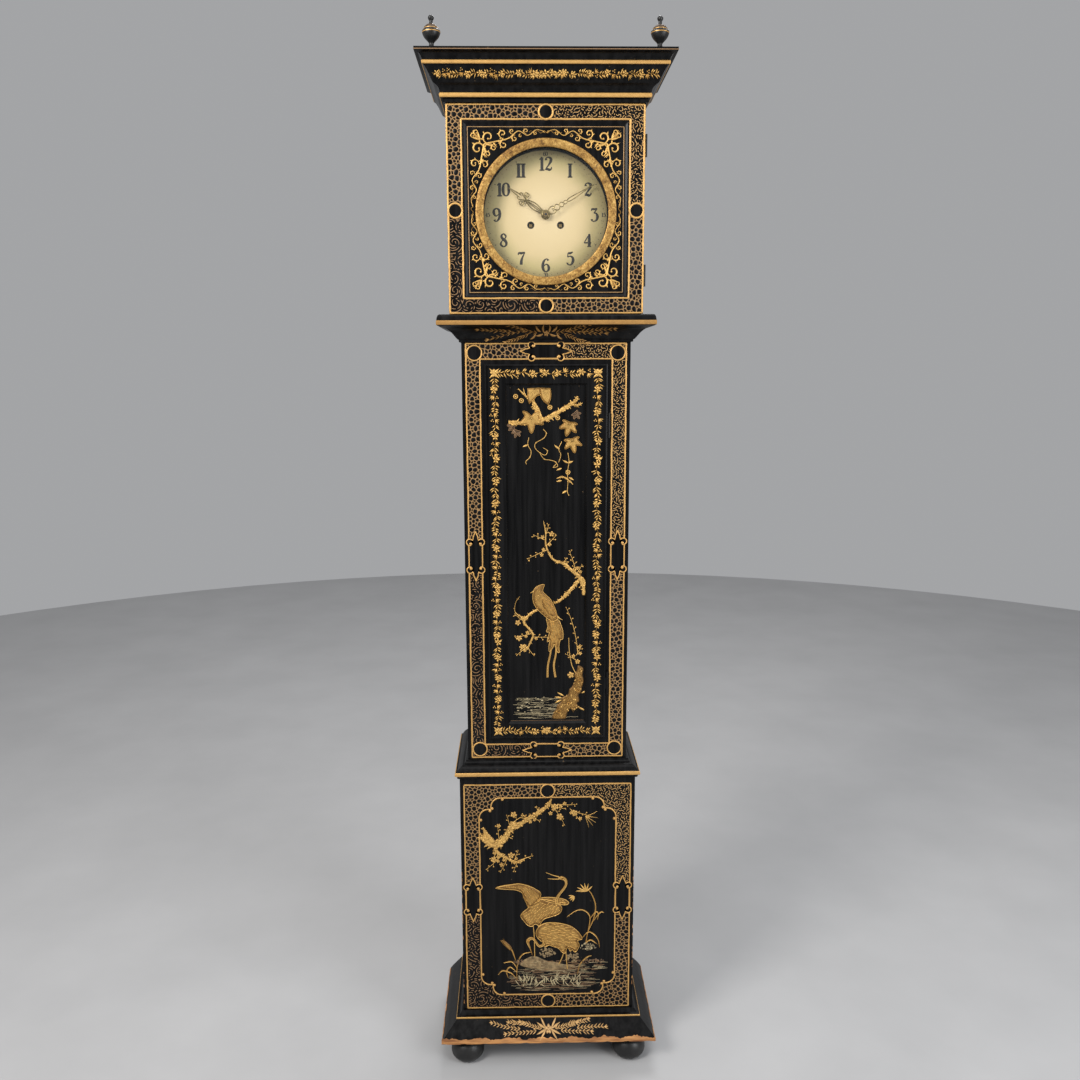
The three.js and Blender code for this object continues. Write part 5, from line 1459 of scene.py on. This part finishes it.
def build_base_banding():
    corners = base_light()
    outline = np.array([p for corner in corners for p in corner])
    half, low, high = BASE_INNER
    reach = CUSP + STEP

    def gusset(x, z):
        near = abs(x) > half - reach and (z > high - reach or z < low + reach)
        return near and not inside(np.array([[x, z]]), outline)[0]

    band = Banding("base", BASE_FACE, "case", BASE_OUTER, BASE_INNER, gusset)
    band.fill()
    corner_ground(corners)
    lines, plates = Relief(BASE_FACE), Relief(BASE_FACE)
    band.lines(lines, 3.4, inner=False)
    for corner, after, sx, sz in zip(corners, corners[1:] + corners[:1], (1, -1, -1, 1), (1, 1, -1, -1)):
        lines.stroke(corner, 3.2, RAISED)
        lines.line(*corner[-1], *after[0], 3.4, wander=0.25)
        x, z = sx * half, (high if sz > 0 else low)
        for u, v in ((3.2, reach + 4.5), (reach + 4.5, 3.2), (STEP + 2.4, STEP - 1.6),
                     (STEP - 2.2, STEP + 3.4)):
            lines.dome(x - sx * u, z - sz * v, 3.4, 2.0, 12)
    for z in ((BASE_OUTER[1] + BASE_INNER[1]) / 2 - 0.6, (BASE_OUTER[2] + BASE_INNER[2]) / 2):
        roundel(plates, lines, 0, z)
    for x in (-156, 156):
        cartouche(plates, lines, x, 358, 90, 14.4)
    plates.build("base_plates", PEBBLE_BLACK, "case", "black_lacquer")
    lines.build("base_gilt_lines", GILT_LINE, "case")


def corner_ground(corners):
    """Gold ground in the two gussets that hold pebbles."""
    half, low, high = BASE_INNER
    work = Relief(BASE_FACE)
    work.plate([(-half, high)] + corners[1], GROUND)
    work.plate([(half, low)] + corners[3], GROUND)
    work.build("base_ground_gussets", GILT_NET, "case")


# as DOOR_TWIGS, for the branch over the cranes
BASE_TWIGS = ((-78, 520, 100, 26, 3, 1), (-74, 526, 45, 34, 4, 1), (-100, 488, 95, 36, 4, 1),
              (4, 570, 330, 36, 4, 1), (10, 566, 300, 50, 5, 1), (20, 568, 350, 40, 5, 2),
              (46, 558, 310, 34, 4, 1), (50, 552, 345, 40, 5, 1), (-104, 466, 240, 24, 3, 1),
              (-96, 456, 230, 44, 6, 2), (-84, 450, 250, 34, 5, 1), (-70, 444, 70, 24, 4, 1),
              (-62, 444, 250, 26, 4, 1), (-56, 446, 20, 26, 4, 0), (-44, 536, 120, 14, 2, 0),
              (-30, 542, 320, 18, 2, 1), (-86, 500, 330, 14, 2, 0), (-20, 552, 100, 12, 2, 0))


def build_base_branch():
    work = Relief(BASE_FACE)
    branch(work, [(8, 580, 4), (2, 568, 7), (-8, 558, 9), (-26, 545, 9), (-44, 534, 10), (-60, 523, 11),
                  (-74, 518, 13), (-84, 504, 12), (-93, 490, 13), (-106, 482, 16), (-118, 484, 17),
                  (-130, 494, 15), (-138, 500, 9)], RAISED * 1.3, 0.2)
    branch(work, [(-114, 490, 9), (-126, 504, 9), (-134, 519, 4)], RAISED * 1.3, 0.2)
    branch(work, [(-110, 480, 9), (-107, 468, 8), (-98, 458, 7), (-84, 450, 6), (-70, 442, 5), (-56, 444, 3),
                  (-42, 452, 1)], RAISED * 1.2, 0.2)
    for x, z, heading, length, count, flowers in BASE_TWIGS:
        prunus(work, x, z, heading, length, count, flowers)
    for x, z, r in ((-70, 546, 7.4), (-101, 522, 5), (16, 562, 7.4), (25, 540, 8), (55, 548, 7.6),
                    (67, 536, 4.6), (-112, 447, 7), (-76, 456, 7.4), (-96, 436, 5), (-36, 530, 4.4),
                    (6, 548, 5), (-58, 442, 5)):
        blossom(work, x, z, r, 1.8)
    for heading in (15, 350, 325, 305, 285):
        path = clothoid(78, 541, heading, 26, 0.4, 1.4 if heading < 180 else -0.8)
        work.stroke(path, np.linspace(1.8, 0.6, len(path)), RAISED * 0.8)
    work.build("base_prunus", GILT, "case")


def build_cranes():
    work = Relief(BASE_FACE)
    far_wing = loop_spline([(-18, 358), (-3, 361), (13, 360), (27, 358), (38, 354), (44, 347), (36, 343),
                            (22, 346), (0, 350)], 3)
    plumage(work, far_wing, 1.8, 350, 14)
    body = loop_spline([(-15, 357), (6, 349), (21, 347), (29, 338), (27, 328), (19, 321), (6, 317), (-8, 312),
                        (-14, 305), (-18, 296), (-26, 301), (-35, 295), (-44, 300), (-50, 308), (-57, 319),
                        (-52, 328), (-43, 336), (-36, 346), (-26, 352)], 3)
    plumage(work, body, 2.8, 215, 11, fan=-0.4)
    wing = loop_spline([(-40, 340), (-46, 352), (-51, 363), (-54, 373), (-66, 379), (-86, 381), (-109, 384),
                        (-92, 389), (-77, 391), (-62, 393), (-47, 390), (-34, 385), (-24, 379),
                        (-16, 373), (-15, 365), (-19, 357), (-26, 347)], 3)
    plumage(work, wing, 3.4, 118, 14)
    neck = spline([(20, 344, 11), (18, 354, 8), (23, 366, 6.4), (32, 378, 6), (38, 389, 6), (37, 399, 7),
                   (30, 404, 8.4), (22, 404, 5)], 6)
    work.stroke(neck, neck[:, 2], 3.2, VEINED)
    for row in ([(23, 407), (10, 411), (-4, 417)], [(23, 402), (13, 402), (0, 403)]):
        path = spline(row, 6)
        work.stroke(path, np.linspace(2.8, 1.0, len(path)), 2.2)
    work.ring(31, 404, 1.7, 0.9, 4.0, 10)
    legs = ([(-31, 298), (-29, 273), (-28, 226)], [(-21, 300), (-18, 286)],
            [(34, 238), (30, 223), (23, 207)], [(38, 238), (39, 217), (41, 196)])
    for row in legs:
        work.stroke(spline(row, 5), 2.2, 1.6)
    second = loop_spline([(-23, 288), (-15, 298), (-2, 303), (16, 303), (32, 300), (47, 295), (58, 287),
                          (66, 278), (72, 265), (62, 262), (66, 250), (58, 235), (51, 241), (47, 237),
                          (41, 246), (36, 233), (28, 237), (23, 244), (13, 248), (3, 252), (-7, 248),
                          (-9, 258), (-16, 263), (-23, 271), (-25, 280)], 3)
    plumage(work, second, 3.0, 338, 14, fan=0.5)
    neck = spline([(-10, 270, 12), (-8, 258, 8), (-12, 251, 6.4), (-19, 250, 6), (-24, 257, 5.6),
                   (-29, 265, 5.6), (-36, 268, 6.4), (-42, 263, 8.4), (-42, 256, 6), (-38, 246, 3),
                   (-33, 229, 1)], 6)
    work.stroke(neck, neck[:, 2], 3.4, VEINED)
    work.ring(-41, 262, 1.7, 0.9, 4.2, 10)
    work.build("base_cranes", GILT, "case")


def build_reeds():
    work = Relief(BASE_FACE)
    stems = ([(80, 246), (84, 280), (96, 310), (100, 340), (92, 366), (80, 382)],
             [(78, 250), (86, 290), (88, 316), (76, 330), (60, 330), (40, 316)],
             [(70, 264), (84, 280), (96, 276), (106, 262), (109, 244)],
             [(92, 300), (104, 318), (112, 326), (118, 324)],
             [(88, 310), (100, 326), (106, 322), (104, 308)],
             [(76, 252), (90, 262), (104, 252)],
             [(-68, 216), (-74, 236), (-80, 250)],
             [(-66, 170), (-66, 196), (-62, 218), (-52, 232), (-36, 236)],
             [(-64, 196), (-76, 214), (-94, 212)],
             [(-66, 190), (-80, 202), (-88, 192), (-84, 176)],
             [(-68, 176), (-78, 188), (-96, 194), (-106, 184)],
             [(62, 182), (68, 206), (82, 222), (92, 226)])
    for row in stems:
        path = spline(row, 6)
        work.stroke(path, swell(len(path), 3.0, 0.3, 0.55), 1.4, VEINED)
    for heading in (60, 85, 110, 140, 165, 30):
        leaf(work, 78, 372, heading, 20, 4.2, bend=1.2)
    for heading in (200, 225, 170, 250):
        leaf(work, 56, 362, heading, 13, 4.4)
    head = loop_spline([(-80, 240), (-90, 250), (-98, 264), (-90, 262), (-80, 252), (-76, 244)], 4)
    work.body(head, 1.8, 3, 1.6)
    for i in range(9):
        at = swing(-82, 246, i * 2.2, 0, 128)
        for side in (-1, 1):
            work.stroke([at, swing(*at, 9, 0, 128 + side * 26)], [1.0, 0.5], 1.0, RIDGE)
    work.build("base_reeds", GILT, "case")


def clump(work, x, z, wide, tall):
    """A bush or a rough rock: small overlapping blobs that fill an oval."""
    for _ in range(int(wide * tall / 4)):
        angle, reach = DRAW.uniform(0, TAU), math.sqrt(DRAW.random())
        work.dome(x + wide * reach * math.cos(angle), z + tall * reach * math.sin(angle),
                  DRAW.uniform(1.6, 3.4), DRAW.uniform(0.8, 1.7), 7,
                  rim=0.2, squash=DRAW.uniform(0.5, 1), turn=DRAW.uniform(0, 180),
                  crest=DRAW.uniform(0.3, 1.0))


def build_base_water():
    pale = Relief(BASE_FACE)
    dull = Relief(BASE_FACE)
    for _ in range(230):
        z = DRAW.uniform(146, 200)
        middle = (z - 172) / 30
        reach = 90 * math.sqrt(max(0.05, 1 - middle * middle * 0.8))
        x = DRAW.uniform(-reach, reach)
        length = DRAW.uniform(8, 34)
        row = [(x + length * t, z + DRAW.uniform(-0.6, 0.6)) for t in np.linspace(0, 1, 6)]
        (pale if DRAW.random() < 0.4 else dull).stroke(row, DRAW.uniform(0.5, 1.3), 0.3, RIDGE)
    for _ in range(64):
        x, z = DRAW.uniform(-62, 70), DRAW.uniform(154, 176)
        leaf(pale, x, z, DRAW.uniform(35, 145), DRAW.uniform(10, 20), 2.2, 1.0, DRAW.uniform(-3, 3))
    mound = loop_spline([(-60, 208), (-44, 222), (-26, 226), (-6, 216), (16, 212), (36, 206), (60, 204),
                         (40, 196), (10, 192), (-20, 196), (-44, 200)], 4)
    earth = Relief(BASE_FACE)
    earth.body(mound, 1.0, 5, 2.4, carve=bark)
    for x, z, wide, tall, work in ((-2, 234, 17, 11, earth), (52, 222, 15, 11, earth), (84, 247, 17, 9, pale),
                                   (96, 213, 24, 5, dull), (-62, 214, 14, 6, dull)):
        clump(work, x, z, wide, tall)
    for _ in range(110):
        x, z = DRAW.uniform(-52, 112), DRAW.uniform(192, 216)
        row = [(x, z), (x + DRAW.uniform(8, 20), z + DRAW.uniform(-2, 2))]
        (pale if DRAW.random() < 0.35 else dull).stroke(row, [1.6, 0.5], 1.3, RIDGE)
    earth.build("base_earth", DRY_EARTH, "case")
    pale.build("base_water_pale", SILVER, "case")
    dull.build("base_water_dull", GILT_DIM, "case")


# ---------- sprays on the throat and plinth ----------
def side_sprays(work, stems, bristles, leaves, leaf_size, bend=0.0):
    """Sprays and leaves that start near x = 0 and are repeated on both sides of it."""
    for side in (-1, 1):
        base = 0 if side > 0 else 180
        for x, z, heading, length in stems:
            spray(work, side * x, z, base + side * heading, length, *bristles)
        for x, z, turn in leaves:
            leaf(work, side * x, z, base + side * turn, *leaf_size, 1.3, side * bend)


def build_sprays():
    work = Relief(slope(TRUNK_FACE, [(1505, 6.6), (1508, 9.4), (1513, 13.4), (1519, 19), (1524.4, 27),
                                     (1528.4, 40)]))
    side_sprays(work, ((18, 1516, 12, 60), (40, 1520, -8, 70), (66, 1519, 4, 60), (34, 1514, -22, 44)),
                (8, 9, 24), ((4, 1516, 60), (6, 1515, -40), (20, 1515, -70), (10, 1518, 20)), (16, 4.4), 4.0)
    blossom(work, 0, 1515, 5.5, 1.4)
    work.build("throat_spray", GILT_BAND, "case")
    work = Relief(slope(BASE_FACE, [(60, 45), (64, 42), (71, 36), (79, 28), (87, 20), (92, 14.6)]))
    side_sprays(work, ((14, 78, 10, 44), (26, 75, -5, 62), (60, 78, 4, 58), (42, 84, 6, 40)), (9, 8, 26),
                [(5, 77, turn) for turn in (55, 25, -20, -50)], (22, 4.0))
    blossom(work, 0, 77, 7.5, 1.5)
    work.build("plinth_spray", GILT_THREAD, "case")


# ---------- wear ----------
def worn_run(work, start, end, inward, high, ragged):
    """A ragged strip of bare wood between two corners of the plinth's foot, turned in over its slope."""
    count = int(math.hypot(end[0] - start[0], end[1] - start[1]) / 3.2)
    for i in range(count + 1):
        t = i / count
        x, y = start[0] + (end[0] - start[0]) * t, start[1] + (end[1] - start[1]) * t
        wave = 0.55 + 0.3 * math.sin(i * 0.31) + 0.15 * math.sin(i * 0.9)
        top = 60.6 + high * wave + DRAW.uniform(0, ragged)
        foot = 55.2 + max(0.0, ragged * (math.sin(i * 0.47 + 1) - 0.35)) * DRAW.uniform(0.3, 1.2)
        inset = (top - 60.2) * 0.7
        work[0].extend([(x, y, foot), (x, y, 60.2), (x + inward[0] * inset, y + inward[1] * inset, top)])
        if i:
            n = len(work[0])
            work[1].extend([(n - 6, n - 3, n - 2, n - 5), (n - 5, n - 2, n - 1, n - 4)])


def build_wear():
    out = 45.3
    x, y = BASE_HALF + out, BASE_FACE - out
    work = ([], [])
    worn_run(work, (-x, y), (x, y), (0, 1), 5.5, 2.2)
    worn_run(work, (-x, BACK_Y - 2), (-x, y), (1, 0), 3.0, 1.6)
    worn_run(work, (x, y), (x, BACK_Y - 2), (-1, 0), 3.0, 1.6)
    piece("plinth_worn_foot", work[0], work[1], BARE_WOOD, "case")
    edges = Relief(BASE_FACE)
    for x, low, high, count in ((-178.6, 250, 420, 22), (178.6, 150, 420, 20), (-178.6, 110, 190, 8)):
        for _ in range(count):
            z = DRAW.uniform(low, high)
            edges.line(x, z, x, z + DRAW.uniform(2, 9), DRAW.uniform(0.5, 1.2), 0.1, FLAT, 0.15, 2)
    edges.build("base_worn_corners", BARE_WOOD, "case", "pine")


# ---------- carried-over nodes ----------
FINISHES = {
    BLACK: ("base_front", "base_side_left", "base_side_right", "trunk_front_frame", "trunk_side_left",
            "trunk_side_right", "hood_front_frame", "hood_side_left", "hood_side_right", "hood_door"),
    BLACK_PANEL: ("trunk_door",),
    PINE: ("backboard",),
    FLAT_PINE: ("base_floor", "hood_top", "seatboard"),
    BRASS: ("back_plate", "front_plate", "back_cock", "going_barrel", "going_great_wheel", "centre_wheel",
            "third_wheel", "escape_wheel", "minute_wheel", "hour_wheel", "strike_barrel",
            "strike_great_wheel", "pin_wheel", "warning_wheel", "fly", "pendulum_bob", "rating_nut",
            "going_pulley", "strike_pulley"),
    STEEL: ("bell", "bell_stand", "pallets", "hammer", "pendulum_rod"),
    LEAD: ("going_weight", "strike_weight"),
    GUT: ("going_line", "going_line_fixed", "strike_line", "strike_line_fixed"),
    CREAM: ("dial",),
    clear_glass(): ("door_glass",),
}
SOFTENED = ("base_front", "base_side_left", "base_side_right", "trunk_side_left", "trunk_side_right",
            "hood_side_left")


def finish_nodes():
    for material, names in FINISHES.items():
        for name in names:
            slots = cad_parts[name].material_slots
            for used in slots:
                used.material = material
            if not slots:
                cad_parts[name].data.materials.append(material)
    for name in SOFTENED:
        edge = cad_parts[name].modifiers.new("eased_edges", "BEVEL")
        edge.width = 0.8 * MM
        edge.segments = 2
        edge.limit_method = "ANGLE"


def build_lines():
    """The four gut strands as round cords."""
    for name, keep in (("going_line", 0.249), ("strike_line", 0.249), ("going_line_fixed", 0.197),
                       ("strike_line_fixed", 0.197)):
        low, high = corner_mm(name)
        x, y = axis_mm(name)
        rows = np.linspace(low[2], high[2], 60)
        made = turned(f"{name}_cord", [(0.72, z) for z in rows], (x, y, 0), GUT, "case", 12,
                      stands_for=(name,))
        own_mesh(made)


# ---------- floor, light and camera ----------
def build_stage():
    made = Finish("pale_floor", Specular_IOR_Level=0.3)
    made.color(made.ramp(made.noise(3, 4), (0.3, (0.42, 0.42, 0.425)), (0.7, (0.46, 0.46, 0.465))))
    made.rough(made.noise(8, 3), 0.55, 0.7)
    floor_radius = 5.0
    verts = [(floor_radius * math.cos(a), floor_radius * math.sin(a), 0)
             for a in np.linspace(0, TAU, 96, endpoint=False)]
    mesh = bpy.data.meshes.new("studio_floor")
    mesh.from_pydata(verts, [], [tuple(range(96))])
    mesh.materials.append(made.material)
    floor = bpy.data.objects.new("studio_floor", mesh)
    bpy.context.scene.collection.objects.link(floor)


def area_light(name, place, target, size, power, color=(1, 1, 1)):
    data = bpy.data.lights.new(name, "AREA")
    data.shape, data.size, data.size_y = "RECTANGLE", size[0], size[1]
    data.energy, data.color = power, color
    lamp = bpy.data.objects.new(name, data)
    lamp.location = place
    lamp.rotation_mode = "QUATERNION"
    lamp.rotation_quaternion = (Vector(target) - Vector(place)).to_track_quat("-Z", "Y")
    bpy.context.scene.collection.objects.link(lamp)


def build_lights():
    world = bpy.data.worlds.new("studio")
    world.use_nodes = True
    world.node_tree.nodes["Background"].inputs["Color"].default_value = (0.80, 0.81, 0.83, 1)
    world.node_tree.nodes["Background"].inputs["Strength"].default_value = 0.46
    bpy.context.scene.world = world
    bpy.context.scene.view_settings.view_transform = "Standard"
    area_light("key", (-1.9, -1.9, 2.7), (0, 0, 1.15), (0.9, 1.3), 78, (1.0, 0.975, 0.94))
    area_light("fill", (2.1, -1.9, 1.7), (0, 0, 0.9), (1.2, 2.0), 48, (0.97, 0.985, 1.0))
    area_light("top", (0.0, -0.9, 3.6), (0, 0, 1.0), (2.0, 1.4), 18)
    area_light("rear", (0.5, 2.1, 4.2), (0, 0, 1.0), (1.8, 1.4), 60)


def build_camera():
    data = bpy.data.cameras.new("camera")
    data.lens, data.sensor_width = 32.42, 36.0
    data.clip_start, data.clip_end = 0.05, 50.0
    camera = bpy.data.objects.new("camera", data)
    yaw, pitch, roll = 0.0209, 0.1717, -0.0039
    camera.location = (-0.0527, -1.956, 1.4446)
    ahead = Vector((math.sin(yaw) * math.cos(pitch), math.cos(yaw) * math.cos(pitch), -math.sin(pitch)))
    camera.rotation_mode = "QUATERNION"
    camera.rotation_quaternion = ahead.to_track_quat("-Z", "Y") @ Quaternion((0, 0, 1), roll)
    bpy.context.scene.collection.objects.link(camera)
    bpy.context.scene.camera = camera


finish_nodes()
build_mouldings()
build_turnings()
build_hood_banding()
build_spandrels()
build_bezel()
build_cornice_garland()
build_dial()
build_hands()
build_trunk_banding()
build_door_garland()
build_door_top_scene()
build_door_bird()
build_door_branches()
build_door_water()
build_base_banding()
build_base_branch()
build_cranes()
build_reeds()
build_base_water()
build_sprays()
build_wear()
build_lines()
build_stage()
build_lights()
build_camera()
